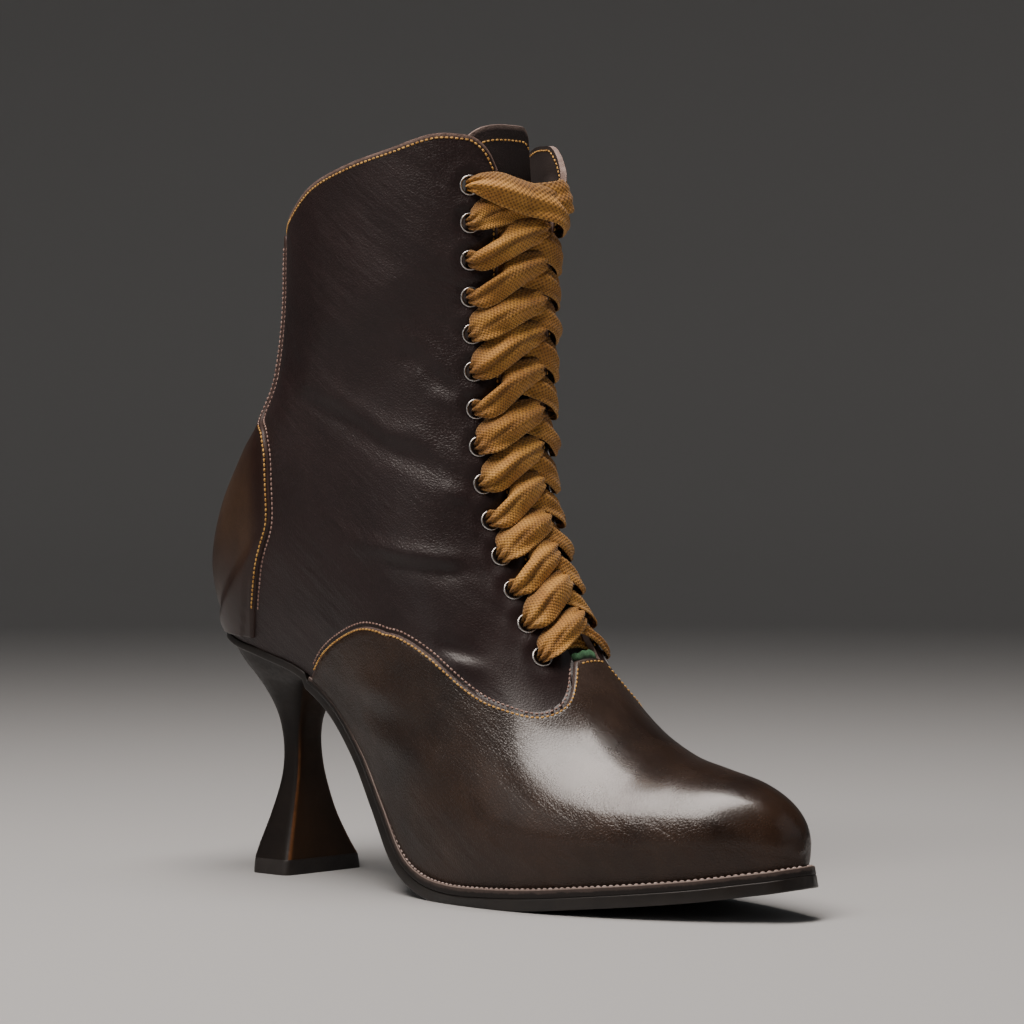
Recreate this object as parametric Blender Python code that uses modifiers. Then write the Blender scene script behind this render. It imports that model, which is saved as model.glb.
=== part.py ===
"""Lace-up bootie, a right shoe built on its last.

The last is a fan of sections that starts at the toe tip, turns over the instep and ends at the collar.
A place on the upper has a station, a share and a side. The station counts the sections from the toe.
The share runs from 0 at the feather line, or at the back line above the heel, to 1 at the front line.
The side is LATERAL on the outer side of the foot and MEDIAL on the inner side.
X runs to the toe, Y to the inner side and Z up. The floor is at Z = 0.
"""
import math

import bmesh
import bpy
import numpy as np
from mathutils import Vector

MM = 0.001
LATERAL = -1
MEDIAL = 1
SIDES = {"lateral": LATERAL, "medial": MEDIAL}

# Driving sizes
ORIGIN = np.array((123.57, -0.94, 0.0)) * MM
WALL = 2.0 * MM
GAP = 0.3 * MM
FEATHER_GAP = 0.6 * MM
OVERLAY = 0.9 * MM
OVERLAY_GAP = 0.7 * MM
TONGUE_DEPTH = 3.1 * MM
TONGUE_THICK = 1.6 * MM
INSOLE_THICK = 1.8 * MM
INSOLE_INSET = 2.6 * MM
EYELET_PAIRS = 14
EYELET_RADIUS = 2.4 * MM
EYELET_WIRE = 0.65 * MM
LACE_LIFT = 0.9 * MM
LACE_THICK = 1.2 * MM

# Sections of the last in millimetres, from the toe tip over the instep to above the collar.
# top and base are the ends of a section in side view, the widths are measured from mid_y,
# wide_at is the share of the section's height where it is widest, and the powers round its two halves.
SECTION_COLUMNS = ("top_x", "top_z", "base_x", "base_z", "mid_y", "lat_base", "med_base", "lat_wide",
                   "med_wide", "wide_at", "low_power", "high_power")
SECTIONS = (
    (242.5, 21.0, 242.5, 16.0, 4.0, 0.0, 0.0, 0.0, 0.0, 0.35, 2.2, 2.0),
    (240.8, 28.0, 239.6, 15.4, 4.0, 8.0, 6.5, 8.8, 7.0, 0.38, 2.2, 2.2),
    (235.5, 34.3, 232.5, 14.3, 4.0, 13.5, 10.5, 14.8, 11.8, 0.38, 2.2, 2.1),
    (225.0, 39.5, 221.0, 12.5, 4.0, 21.0, 16.0, 22.8, 17.5, 0.36, 2.2, 2.0),
    (210.0, 43.0, 205.0, 10.6, 4.0, 28.5, 22.0, 30.5, 23.5, 0.34, 2.2, 1.95),
    (196.0, 46.5, 188.0, 8.9, 4.0, 34.5, 27.0, 37.0, 29.0, 0.33, 2.2, 1.9),
    (182.5, 53.5, 170.0, 7.2, 3.5, 37.8, 30.8, 41.1, 33.0, 0.32, 2.2, 1.85),
    (172.0, 62.5, 153.0, 6.3, 3.0, 38.3, 31.5, 42.3, 34.6, 0.31, 2.2, 1.85),
    (163.8, 73.0, 137.0, 6.1, 2.0, 36.0, 29.5, 40.8, 34.0, 0.31, 2.2, 1.9),
    (157.3, 84.0, 122.5, 8.0, 1.0, 32.0, 25.5, 38.5, 32.5, 0.33, 2.2, 1.95),
    (151.3, 95.5, 110.5, 14.0, 0.5, 28.5, 22.5, 36.8, 31.5, 0.37, 2.2, 2.0),
    (145.5, 107.0, 99.0, 28.5, 0.0, 25.3, 20.5, 35.5, 31.5, 0.42, 2.1, 2.05),
    (140.8, 118.5, 87.0, 45.0, 0.0, 23.2, 19.3, 35.2, 32.0, 0.46, 2.1, 2.1),
    (137.6, 130.0, 73.0, 60.0, 0.0, 22.3, 19.8, 35.2, 32.5, 0.49, 2.1, 2.2),
    (136.2, 142.0, 57.0, 70.0, 0.0, 22.6, 21.0, 35.2, 33.2, 0.50, 2.1, 2.3),
    (135.6, 154.0, 39.0, 75.5, 0.0, 22.8, 22.0, 35.0, 34.0, 0.50, 2.1, 2.3),
    (135.4, 164.0, 24.0, 78.8, 0.0, 20.0, 19.5, 35.0, 34.5, 0.50, 2.1, 2.35),
    (135.4, 172.0, 12.5, 82.0, 0.0, 13.0, 13.0, 35.0, 35.0, 0.50, 2.0, 2.35),
    (135.4, 179.0, 6.8, 84.0, 0.0, 0.0, 0.0, 35.0, 35.5, 0.50, 2.0, 2.35),
    (135.4, 185.0, 1.8, 98.5, 0.0, 0.0, 0.0, 35.0, 35.5, 0.50, 1.95, 2.35),
    (135.5, 191.0, 4.5, 114.0, 0.0, 0.0, 0.0, 35.5, 36.0, 0.50, 1.85, 2.35),
    (135.6, 197.0, 12.0, 128.0, 0.0, 0.0, 0.0, 36.0, 36.5, 0.50, 1.75, 2.35),
    (135.8, 203.0, 22.5, 142.0, 0.0, 0.0, 0.0, 36.5, 37.0, 0.50, 1.75, 2.35),
    (136.0, 209.0, 32.0, 156.0, 0.0, 0.0, 0.0, 37.0, 37.5, 0.50, 1.8, 2.35),
    (136.2, 216.0, 37.0, 170.0, 0.0, 0.0, 0.0, 37.0, 37.5, 0.50, 1.9, 2.35),
    (136.4, 223.0, 39.5, 186.0, 0.0, 0.0, 0.0, 37.0, 37.5, 0.50, 1.95, 2.35),
    (136.6, 231.0, 40.5, 202.0, 0.0, 0.0, 0.0, 37.0, 37.5, 0.50, 2.0, 2.35),
    (136.8, 240.0, 41.0, 218.0, 0.0, 0.0, 0.0, 37.0, 37.5, 0.50, 2.0, 2.35),
    (137.0, 250.0, 41.4, 234.0, 0.0, 0.0, 0.0, 37.0, 37.5, 0.50, 2.0, 2.35),
)
LENGTH_COLUMNS = 9
LOW_SHARE = 0.42
HEEL_STATION = 18.0
ROLL_START = 15.0
COLLAR_FRONT = 25.85

# Stations well inside the toe box, the back of the ankle and the shin
TOE_TOP = 4.0
ACHILLES = 21.0
SHIN = 20.0

# Edge of the lacing gap as a share of the girth, at the throat and at the collar
THROAT_STATION = 8.25
FACING_START = 14.0
THROAT_EDGE = 0.93
COLLAR_EDGE = 0.905

# Vamp seam: share of the way from the feather to the edge of the lacing gap, and station
VAMP_SEAM = ((0.0, 13.7), (0.13, 13.6), (0.23, 13.35), (0.38, 12.75), (0.5, 11.9), (0.63, 10.35),
             (0.72, 8.75), (0.8, 7.65), (0.855, 7.4), (0.905, 7.45), (0.95, 7.75), (1.0, THROAT_STATION))
VAMP_HEM = 0.02

# Collar: share of the girth, and station
COLLAR = ((0.0, 26.6), (0.15, 26.7), (0.26, 26.85), (0.34, 27.1), (0.42, 27.2), (0.56, 27.25),
          (0.72, 27.35), (0.77, 27.25), (0.83, 27.05), (0.88, 26.5), (0.91, 25.85), (1.0, 25.85))

# Counter seam from the heel seat up to the collar: share of the way, station and share of the girth
COUNTER_SEAM = ((0.0, 15.35, 0.03), (0.1, 15.8, 0.125), (0.2, 16.4, 0.235), (0.3, 17.2, 0.32),
                (0.42, 18.4, 0.357), (0.54, 19.7, 0.352), (0.64, 20.8, 0.31), (0.75, 22.3, 0.215),
                (0.87, 24.4, 0.165), (1.0, 26.6, 0.155))
COUNTER_BACK_START = 18.35

# Lower edge of the counter: its greatest share, and how fast it fades to the seam, to the back and upwards
COUNTER_HEM = 0.06
HEM_SEAM_FADE = 3
HEM_BACK_FADE = 6
HEM_RISE_POWER = 4

# Eyelet row: station of the lowest and of the top eyelet, and distance from the edge of the facing.
# The pitch is measured along a line at EYELET_SHARE of the girth.
EYELET_LOWEST = 8.75
EYELET_TOP = 25.45
EYELET_INSET = 9.6 * MM
EYELET_SHARE = 0.82
INSET_REACH = 0.25

# Lace crossing: ends of its lower and upper arms as shares of the way from the front line to the eyelets,
# then half widths as shares of the eyelets' pitch, and the middle's reach to the sides
LACE_FOOT = 0.78
LACE_HEAD = 0.5
LACE_END_HALF = 0.17
LACE_MIDDLE_HALF = 0.24
LACE_MIDDLE_SIDE = 0.42
LACE_SLOPE = 0.5

# Tongue: station, and reach to the outer and to the inner side as shares of the girth from the front line
TONGUE = ((6.6, 0.09, 0.09), (8.0, 0.125, 0.125), (14.0, 0.165, 0.15), (20.0, 0.18, 0.13), (24.0, 0.19, 0.075),
          (27.5, 0.195, 0.035))
TONGUE_CORNER = 0.35
TONGUE_CORNER_POWER = 4

# Sole layers: station, welt overhang, outsole overhang, welt thickness and outsole thickness
SOLE_COLUMNS = ("welt_out", "sole_out", "welt", "sole")
SOLE = ((0.0, 3.0, 3.0, 2.0, 3.8), (6.0, 3.0, 3.0, 2.0, 3.8), (9.0, 2.8, 2.6, 2.0, 3.8),
        (11.0, 1.8, 1.4, 1.6, 3.3), (13.0, 1.0, 0.8, 1.3, 2.8), (14.0, 0.8, 0.6, 1.2, 2.6),
        (18.0, 0.4, 0.4, 1.2, 2.4))
STEP_START = 13.78
STEP_END = 14.1
TOE_STATIONS = (0.1, 0.28)
TREAD_STATIONS = (7.35, 8.4, 9.4, 10.3)

# Heel rings in millimetres: height at the seat's middle, the ring's rear, widest and front place,
# its half width, the powers of its rear and front half, and how far it follows the slope of the seat
HEEL_COLUMNS = ("height", "rear_x", "wide_x", "front_x", "half_width", "rear_power", "front_power", "slope")
HEEL = (
    (5.3, 27.3, 37.0, 45.7, 17.2, 7.0, 9.0, 0.0),
    (10.0, 27.2, 36.3, 44.2, 14.9, 6.0, 8.0, 0.0),
    (19.5, 28.6, 35.6, 41.8, 10.9, 5.0, 7.0, 0.0),
    (30.0, 30.2, 35.5, 40.3, 7.7, 4.0, 6.0, 0.0),
    (38.0, 30.4, 35.2, 39.6, 6.3, 3.5, 5.0, 0.0),
    (46.0, 29.2, 35.0, 39.4, 6.0, 3.2, 4.5, 0.0),
    (53.0, 26.8, 35.0, 40.6, 7.0, 2.8, 4.0, 0.05),
    (59.0, 23.2, 35.5, 44.0, 9.6, 2.5, 4.0, 0.2),
    (64.0, 18.8, 36.5, 49.0, 13.4, 2.4, 4.0, 0.45),
    (68.0, 13.6, 38.0, 55.0, 17.6, 2.3, 5.0, 0.75),
)
SEAT_RING = (8.6, 40.0, 60.0, 21.4, 2.2, 6.0, 1.0)
SEAT_SIZES = (1.0, 0.6, 0.2, 0.0)
SEAT_GAP = 0.6 * MM
HEEL_MIDDLE = 40.0 * MM
LIFT_FOOT = (0.0, 28.0, 37.0, 46.0, 18.0, 8.0, 10.0, 0.0)
LIFT_TOP = (5.0, 27.4, 37.0, 45.8, 17.3, 7.0, 9.0, 0.0)

# Colours: red, green, blue, roughness and metallic value
COLOURS = {
    "quarter leather": (0.055, 0.036, 0.034, 0.42, 0.0),
    "vamp leather": (0.085, 0.055, 0.040, 0.28, 0.0),
    "counter leather": (0.095, 0.052, 0.038, 0.38, 0.0),
    "tongue leather": (0.060, 0.042, 0.036, 0.5, 0.0),
    "insole board": (0.30, 0.21, 0.13, 0.8, 0.0),
    "welt leather": (0.12, 0.085, 0.065, 0.6, 0.0),
    "sole leather": (0.030, 0.022, 0.018, 0.55, 0.0),
    "heel": (0.040, 0.026, 0.020, 0.35, 0.0),
    "top lift": (0.025, 0.02, 0.018, 0.6, 0.0),
    "nickel": (0.55, 0.53, 0.50, 0.25, 1.0),
    "ribbon": (0.36, 0.22, 0.075, 0.75, 0.0),
}

# Grid of the upper. A row of the quarter falls on the heel station where QUARTER_ROWS is a multiple of three.
GIRTH_CELLS = 13
GAP_CELLS = 2
VAMP_ROWS = 16
QUARTER_ROWS = 18
TOE_CROWDING = 1.12
GRID_TOLERANCE = 0.01

# Grids of the other pieces as columns and rows, or as cells round
COUNTER_GRID = (16, 18)
TONGUE_GRID = (8, 16)
HEEL_SIDES = 20
EYELET_SIDES = 8
EYELET_WIRE_SIDES = 3
ARM_CELLS = 3

# Small steps and sample counts for measuring along the last
STATION_STEP = 0.01
SHARE_STEP = 0.001
OUTLINE_STEP = 0.02
LENGTH_STEP = 0.5 * MM
FEATHER_SAMPLES = 361
WALK_SAMPLES = 200
WELD = 0.01 * MM
FAR_OUT = 0.2


class Curve:
    """Smooth curve through the rows of a table, whose first column is the position."""

    def __init__(self, rows):
        data = np.array(rows, dtype=float)
        self.at = data[:, 0]
        self.values = data[:, 1:]
        self.slopes = np.gradient(self.values, self.at, axis=0)

    def __call__(self, position):
        position = min(max(position, self.at[0]), self.at[-1])
        i = min(int(np.searchsorted(self.at, position, side="right")) - 1, len(self.at) - 2)
        span = self.at[i + 1] - self.at[i]
        f = (position - self.at[i]) / span
        rise = f * f * (3 - 2 * f)
        start_slope = f * (1 - f) ** 2 * span
        end_slope = f * f * (f - 1) * span
        value = self.values[i] + rise * (self.values[i + 1] - self.values[i])
        return value + start_slope * self.slopes[i] + end_slope * self.slopes[i + 1]


def numbered(rows):
    """Rows of a table with their number as the position."""
    return [(number, *row) for number, row in enumerate(rows)]


last_curve = Curve(numbered(SECTIONS))
vamp_seam = Curve(VAMP_SEAM)
collar_curve = Curve(COLLAR)
counter_curve = Curve(COUNTER_SEAM)
tongue_curve = Curve(TONGUE)
sole_curve = Curve(SOLE)


def section(station):
    """Named values of the last's section at a station, lengths in metres."""
    values = last_curve(station)
    values[:LENGTH_COLUMNS] *= MM
    return dict(zip(SECTION_COLUMNS, values))


def base_half(row, side):
    """Half width of the feather line on one side."""
    return max(0.0, row["lat_base"] if side == LATERAL else row["med_base"])


def back_roll(station):
    """0 where the upper rises straight from the feather, 1 where it rolls round the back of the heel."""
    way = min(max((station - ROLL_START) / (HEEL_STATION - ROLL_START), 0.0), 1.0)
    return way * way * (3 - 2 * way)


def surface(station, share, side):
    """Point of the last's outside."""
    row = section(station)
    wide = max(0.0, row["lat_wide"] if side == LATERAL else row["med_wide"])
    base = base_half(row, side)
    if share <= LOW_SHARE:
        angle = max(0.0, share) / LOW_SHARE * math.pi / 2
        power = 2 / row["low_power"]
        rolled = 1 - max(0.0, math.cos(angle)) ** power
        straight = share / LOW_SHARE
        height = row["wide_at"] * (straight + (rolled - straight) * back_roll(station))
        out = base + (wide - base) * math.sin(angle) ** power
    else:
        angle = (min(share, 1.0) - LOW_SHARE) / (1 - LOW_SHARE) * math.pi / 2
        power = 2 / row["high_power"]
        height = row["wide_at"] + (1 - row["wide_at"]) * math.sin(angle) ** power
        out = wide * max(0.0, math.cos(angle)) ** power
    x = row["base_x"] + (row["top_x"] - row["base_x"]) * height
    z = row["base_z"] + (row["top_z"] - row["base_z"]) * height
    return np.array((x, row["mid_y"] + side * out, z)) - ORIGIN


def outward(station, share, side):
    """Unit normal of the last's outside."""
    if station <= 0.0:
        return np.array((1.0, 0.0, 0.0))
    along = surface(station + STATION_STEP, share, side) - surface(station - STATION_STEP, share, side)
    if share <= 0.0 and station >= HEEL_STATION:
        across = np.array((0.0, side, 0.0))
    elif share >= 1.0:
        across = np.array((0.0, -side, 0.0))
    else:
        low = max(0.0, share - SHARE_STEP)
        high = min(1.0, share + SHARE_STEP)
        across = surface(station, high, side) - surface(station, low, side)
    normal = side * np.cross(along, across)
    return normal / np.linalg.norm(normal)


def lifted(station, share, side, height):
    """Point at a height over the last's outside, or under it where the height is negative."""
    return surface(station, share, side) + height * outward(station, share, side)


def facing_edge(station):
    """Share of the girth at the edge of the lacing gap."""
    way = min(max((station - FACING_START) / (COLLAR_FRONT - FACING_START), 0.0), 1.0)
    return THROAT_EDGE + (COLLAR_EDGE - THROAT_EDGE) * way


def make_materials():
    """One Principled material for each entry of the colour table."""
    made = {}
    for name, (red, green, blue, roughness, metallic) in COLOURS.items():
        material = bpy.data.materials.new(name)
        material.use_nodes = True
        shader = material.node_tree.nodes["Principled BSDF"]
        shader.inputs["Base Color"].default_value = (red, green, blue, 1.0)
        shader.inputs["Roughness"].default_value = roughness
        shader.inputs["Metallic"].default_value = metallic
        made[name] = material
    return made


def add_sheet(mesh, columns, rows, place):
    """Adds a grid of columns by rows cells and moves each corner to place(column, row)."""
    made = bmesh.ops.create_grid(mesh, x_segments=columns, y_segments=rows, size=0.5)
    for corner in made["verts"]:
        column = round((corner.co.x + 0.5) * columns)
        row = round((corner.co.y + 0.5) * rows)
        corner.co = Vector(place(column, row))


def add_object(name, mesh, material):
    """Makes an object of a bmesh, in the part's collection."""
    data = bpy.data.meshes.new(name)
    mesh.to_mesh(data)
    mesh.free()
    data.materials.append(materials[material])
    made = bpy.data.objects.new(name, data)
    collection.objects.link(made)
    return made


def add_closed(name, mesh, material):
    """Welds a closed surface, fills its open ends and makes an object of it."""
    bmesh.ops.remove_doubles(mesh, verts=mesh.verts, dist=WELD)
    bmesh.ops.holes_fill(mesh, edges=[edge for edge in mesh.edges if edge.is_boundary])
    bmesh.ops.recalc_face_normals(mesh, faces=mesh.faces)
    return add_object(name, mesh, material)


def add_shell(name, mesh, material, thickness, offset, up):
    """Welds an open surface and gives it a wall. up is a point well outside its outer face."""
    bmesh.ops.remove_doubles(mesh, verts=mesh.verts, dist=WELD)
    bmesh.ops.recalc_face_normals(mesh, faces=mesh.faces)
    nearest = min(mesh.faces, key=lambda face: (face.calc_center_median() - Vector(up)).length)
    if nearest.normal.dot(Vector(up) - nearest.calc_center_median()) < 0:
        bmesh.ops.reverse_faces(mesh, faces=mesh.faces)
    made = add_object(name, mesh, material)
    wall = made.modifiers.new("wall", "SOLIDIFY")
    wall.thickness = thickness
    wall.offset = offset
    return made


def across_place(column):
    """Side and share of a column that runs from the outer feather over the front to the inner feather."""
    half = GIRTH_CELLS + GAP_CELLS
    side = LATERAL if column <= half else MEDIAL
    step = column if side == LATERAL else 2 * half - column
    if step <= GIRTH_CELLS:
        return side, step / GIRTH_CELLS, step / GIRTH_CELLS * THROAT_EDGE
    return side, 1.0, THROAT_EDGE + (1 - THROAT_EDGE) * (step - GIRTH_CELLS) / GAP_CELLS


def vamp_place(column, row, height, hem):
    """Place on the forefoot, from the toe tip to the vamp seam. hem is the lowest share."""
    side, way, share = across_place(column)
    station = vamp_seam(way)[0] * (row / VAMP_ROWS) ** TOE_CROWDING
    return lifted(station, max(share, hem), side, height)


def quarter_place(column, row, side):
    """Place on the quarter, from the vamp seam to the collar."""
    way = column / GIRTH_CELLS
    start = vamp_seam(way)[0]
    end = collar_curve(way * COLLAR_EDGE)[0]
    if way == 1.0:
        end = COLLAR_FRONT
    station = start + (end - start) * row / QUARTER_ROWS
    return surface(station, way * facing_edge(station), side)


def make_upper():
    """Hollow upper, open at the collar, at the throat and underneath."""
    mesh = bmesh.new()
    add_sheet(mesh, 2 * (GIRTH_CELLS + GAP_CELLS), VAMP_ROWS, lambda c, r: vamp_place(c, r, 0.0, 0.0))
    for side in SIDES.values():
        add_sheet(mesh, GIRTH_CELLS, QUARTER_ROWS, lambda c, r, s=side: quarter_place(c, r, s))
    return add_shell("upper", mesh, "quarter leather", WALL, -1.0, lifted(TOE_TOP, 1.0, LATERAL, FAR_OUT))


def make_vamp():
    """Second layer over the forefoot, up to the seam and the tab at the throat."""
    mesh = bmesh.new()
    add_sheet(mesh, 2 * (GIRTH_CELLS + GAP_CELLS), VAMP_ROWS,
              lambda c, r: vamp_place(c, r, OVERLAY_GAP, VAMP_HEM))
    return add_shell("vamp", mesh, "vamp leather", OVERLAY, 1.0, lifted(TOE_TOP, 1.0, LATERAL, FAR_OUT))


def counter_place(column, row):
    """Place on the counter, from the outer seam round the back to the inner seam."""
    columns, rows = COUNTER_GRID
    way = 2 * column / columns - 1
    side = LATERAL if way <= 0 else MEDIAL
    up = row / rows
    seam_station, seam_share = counter_curve(up)
    back_station = COUNTER_BACK_START + (COLLAR[0][1] - COUNTER_BACK_START) * up
    station = back_station + (seam_station - back_station) * abs(way)
    seam_fade = min(1.0, HEM_SEAM_FADE * (1 - abs(way)))
    back_fade = min(1.0, HEM_BACK_FADE * abs(way))
    hem = COUNTER_HEM * seam_fade * back_fade * (1 - up) ** HEM_RISE_POWER
    return lifted(station, seam_share * abs(way) + hem, side, OVERLAY_GAP)


def make_counter():
    """Layer round the heel that runs up the back to the collar."""
    mesh = bmesh.new()
    add_sheet(mesh, *COUNTER_GRID, counter_place)
    behind = lifted(ACHILLES, 0.0, LATERAL, FAR_OUT)
    return add_shell("counter", mesh, "counter leather", OVERLAY, 1.0, behind)


def tongue_place(column, row):
    """Place on the tongue, which follows the inside of the facings."""
    columns, rows = TONGUE_GRID
    way = 2 * column / columns - 1
    side = LATERAL if way <= 0 else MEDIAL
    start, end = TONGUE[0][0], TONGUE[-1][0]
    top = end - TONGUE_CORNER * abs(way) ** TONGUE_CORNER_POWER
    station = start + (top - start) * row / rows
    outer, inner = tongue_curve(station)
    reach = outer if side == LATERAL else inner
    return lifted(station, 1 - reach * abs(way), side, -TONGUE_DEPTH)


def make_tongue():
    """Tongue behind the lacing, from under the vamp to above the collar."""
    mesh = bmesh.new()
    add_sheet(mesh, *TONGUE_GRID, tongue_place)
    ahead = lifted(SHIN, 1.0, LATERAL, FAR_OUT)
    return add_shell("tongue", mesh, "tongue leather", TONGUE_THICK, -1.0, ahead)


def feather_line():
    """Feather line in side view as stations, lengths along it, x and z."""
    stations = np.linspace(0.0, HEEL_STATION, FEATHER_SAMPLES)
    rows = [section(station) for station in stations]
    x = np.array([row["base_x"] for row in rows]) - ORIGIN[0]
    z = np.array([row["base_z"] for row in rows])
    length = np.concatenate(((0.0,), np.cumsum(np.hypot(np.diff(x), np.diff(z)))))
    return stations, length, x, z


feather = feather_line()


def feather_point(length, depth):
    """Point in side view at a length along the feather line and a depth under it."""
    _, lengths, x, z = feather
    inside = min(max(length, lengths[0]), lengths[-1])
    low = min(max(inside - LENGTH_STEP, lengths[0]), lengths[-1] - 2 * LENGTH_STEP)
    high = low + 2 * LENGTH_STEP
    run = np.interp(high, lengths, x) - np.interp(low, lengths, x)
    rise = np.interp(high, lengths, z) - np.interp(low, lengths, z)
    run, rise = run / math.hypot(run, rise), rise / math.hypot(run, rise)
    beyond = length - inside
    point_x = np.interp(inside, lengths, x) + run * beyond - rise * depth
    point_z = np.interp(inside, lengths, z) + rise * beyond + run * depth
    return point_x, point_z


def outline(station, side, out):
    """Length along the feather line and y of a sole's edge, which stands out from the feather."""
    stations, lengths, _, _ = feather

    def flat(at):
        row = section(at)
        return np.array((np.interp(at, stations, lengths), row["mid_y"] + side * base_half(row, side)))

    here = flat(station)
    if station <= 0.0:
        away = np.array((-1.0, 0.0))
    elif station >= HEEL_STATION:
        away = np.array((1.0, 0.0))
    else:
        run, turn = flat(min(station + OUTLINE_STEP, HEEL_STATION)) - flat(station - OUTLINE_STEP)
        away = np.array((-side * turn, side * run)) / math.hypot(run, turn)
    return here + out * away


def sole_edge(station, side, out, depth):
    """Point on the edge of a sole layer. The tread is flat where it would sink under the floor."""
    length, y = outline(station, side, out)
    x, z = feather_point(length, depth)
    return np.array((x, y - ORIGIN[1], max(0.0, z)))


def make_layer(name, material, stations, out, top, bottom):
    """Closed sole layer between two depths under the feather line."""
    mesh = bmesh.new()

    def place(column, row):
        station = stations[row]
        side = (LATERAL, MEDIAL, MEDIAL, LATERAL)[column % 4]
        depth = top(station) if column % 4 < 2 else bottom(station)
        return sole_edge(station, side, out(station), depth)

    add_sheet(mesh, 4, len(stations) - 1, place)
    return add_closed(name, mesh, material)


def sole_value(column):
    """Function of the station for one column of the sole table, in metres."""
    index = SOLE_COLUMNS.index(column)
    return lambda station: sole_curve(station)[index] * MM


def vamp_stations():
    """Stations of the upper's rows along the feather, from the toe tip to the vamp seam."""
    return [VAMP_SEAM[0][1] * (row / VAMP_ROWS) ** TOE_CROWDING for row in range(VAMP_ROWS + 1)]


def seat_stations():
    """Stations of the upper's rows along the heel seat, behind the vamp seam."""
    start, end = VAMP_SEAM[0][1], COLLAR[0][1]
    rows = [start + (end - start) * row / QUARTER_ROWS for row in range(1, QUARTER_ROWS)]
    return [station for station in rows if station < HEEL_STATION - GRID_TOLERANCE] + [HEEL_STATION]


def sole_top(station):
    """Depth of the outsole's upper face: under the welt in front of the heel, under the upper behind it."""
    welt = FEATHER_GAP + sole_value("welt")(station) + GAP
    way = min(max((station - STEP_START) / (STEP_END - STEP_START), 0.0), 1.0)
    return welt + (FEATHER_GAP - welt) * way


def sole_bottom(station):
    """Depth of the outsole's tread."""
    return sole_top(station) + sole_value("sole")(station)


def make_sole():
    """Insole, welt and outsole. Their stations are those of the upper's rows, so the facets stay apart."""
    front, rear = vamp_stations(), seat_stations()
    make_layer("insole", "insole board", front[2:] + rear[:-1], lambda s: -INSOLE_INSET,
               lambda s: -INSOLE_THICK, lambda s: 0.0)
    welt = sorted([*front, *TOE_STATIONS, *TREAD_STATIONS])
    make_layer("welt", "welt leather", welt, sole_value("welt_out"),
               lambda s: FEATHER_GAP, lambda s: FEATHER_GAP + sole_value("welt")(s))
    make_layer("outsole", "sole leather", sorted([*welt, STEP_START, STEP_END, *rear]),
               sole_value("sole_out"), sole_top, sole_bottom)


def tread_line():
    """Underside of the outsole behind the ball, in side view, sorted by x."""
    stations, lengths, _, _ = feather
    rear = stations >= THROAT_STATION
    pairs = zip(stations[rear], lengths[rear])
    points = [feather_point(length, sole_bottom(station)) for station, length in pairs]
    return np.array(sorted(points)).T


tread = tread_line()


def seat_height(x):
    """Height of the outsole's underside over the heel, at an x of the last."""
    return float(np.interp(x - ORIGIN[0], *tread))


def ring_point(ring, way, size):
    """Point of a heel ring at a share of its way round, drawn in to a share of its size."""
    named = dict(zip(HEEL_COLUMNS, ring))
    angle = 2 * math.pi * way
    cosine, sine = math.cos(angle), math.sin(angle)
    power = 2 / (named["front_power"] if cosine >= 0 else named["rear_power"])
    reach = named["front_x"] - named["wide_x"] if cosine >= 0 else named["wide_x"] - named["rear_x"]
    x = (named["wide_x"] + size * math.copysign(abs(cosine) ** power * reach, cosine)) * MM
    y = size * math.copysign(abs(sine) ** power * named["half_width"], sine) * MM
    z = named["height"] * MM + named["slope"] * (seat_height(x) - seat_height(HEEL_MIDDLE))
    return np.array((x, y, z)) - ORIGIN


def make_rings(name, material, rings):
    """Closed body through rings, each given with its size."""
    mesh = bmesh.new()
    add_sheet(mesh, HEEL_SIDES, len(rings) - 1,
              lambda c, r: ring_point(rings[r][0], (c % HEEL_SIDES) / HEEL_SIDES, rings[r][1]))
    return add_closed(name, mesh, material)


def make_heel():
    """Spool heel with a top that fits the seat, and the top lift under it."""
    seat = ((seat_height(HEEL_MIDDLE) - SEAT_GAP) / MM, *SEAT_RING)
    rings = [(ring, 1.0) for ring in HEEL] + [(seat, size) for size in SEAT_SIZES]
    make_rings("heel", "heel", rings)
    make_rings("top_lift", "top lift", [(LIFT_FOOT, 1.0), (LIFT_TOP, 1.0)])


def walked(points):
    """Length walked along a row of points, from the first one on."""
    steps = np.linalg.norm(np.diff(np.array(points), axis=0), axis=1)
    return np.concatenate(((0.0,), np.cumsum(steps)))


def inset_share(station, side, distance):
    """Share of the girth at a distance behind the edge of the facing."""
    edge = facing_edge(station)
    shares = np.linspace(edge, edge - INSET_REACH, WALK_SAMPLES)
    lengths = walked([surface(station, share, side) for share in shares])
    return float(np.interp(distance, lengths, shares))


def eyelet_stations():
    """Stations of the eyelets from the top down, an even pitch apart along the front."""
    stations = np.linspace(EYELET_TOP, EYELET_LOWEST, WALK_SAMPLES)
    lengths = walked([surface(station, EYELET_SHARE, LATERAL) for station in stations])
    return np.interp(np.linspace(0.0, lengths[-1], EYELET_PAIRS), lengths, stations)


def make_eyelets():
    """Rolled rings along both facings."""
    for word, side in SIDES.items():
        for number, station in enumerate(eyelet_stations(), start=1):
            share = inset_share(station, side, EYELET_INSET)
            bpy.ops.mesh.primitive_torus_add(major_segments=EYELET_SIDES, minor_segments=EYELET_WIRE_SIDES,
                                             major_radius=EYELET_RADIUS, minor_radius=EYELET_WIRE)
            ring = bpy.context.object
            ring.name = f"eyelet_{word}_{number:02d}"
            ring.data.name = ring.name
            ring.data.materials.append(materials["nickel"])
            ring.rotation_mode = "QUATERNION"
            ring.rotation_quaternion = Vector(outward(station, share, side)).to_track_quat("Z", "Y")
            ring.location = lifted(station, share, side, EYELET_WIRE + GAP)
            for other in ring.users_collection:
                other.objects.unlink(ring)
            collection.objects.link(ring)


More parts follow.
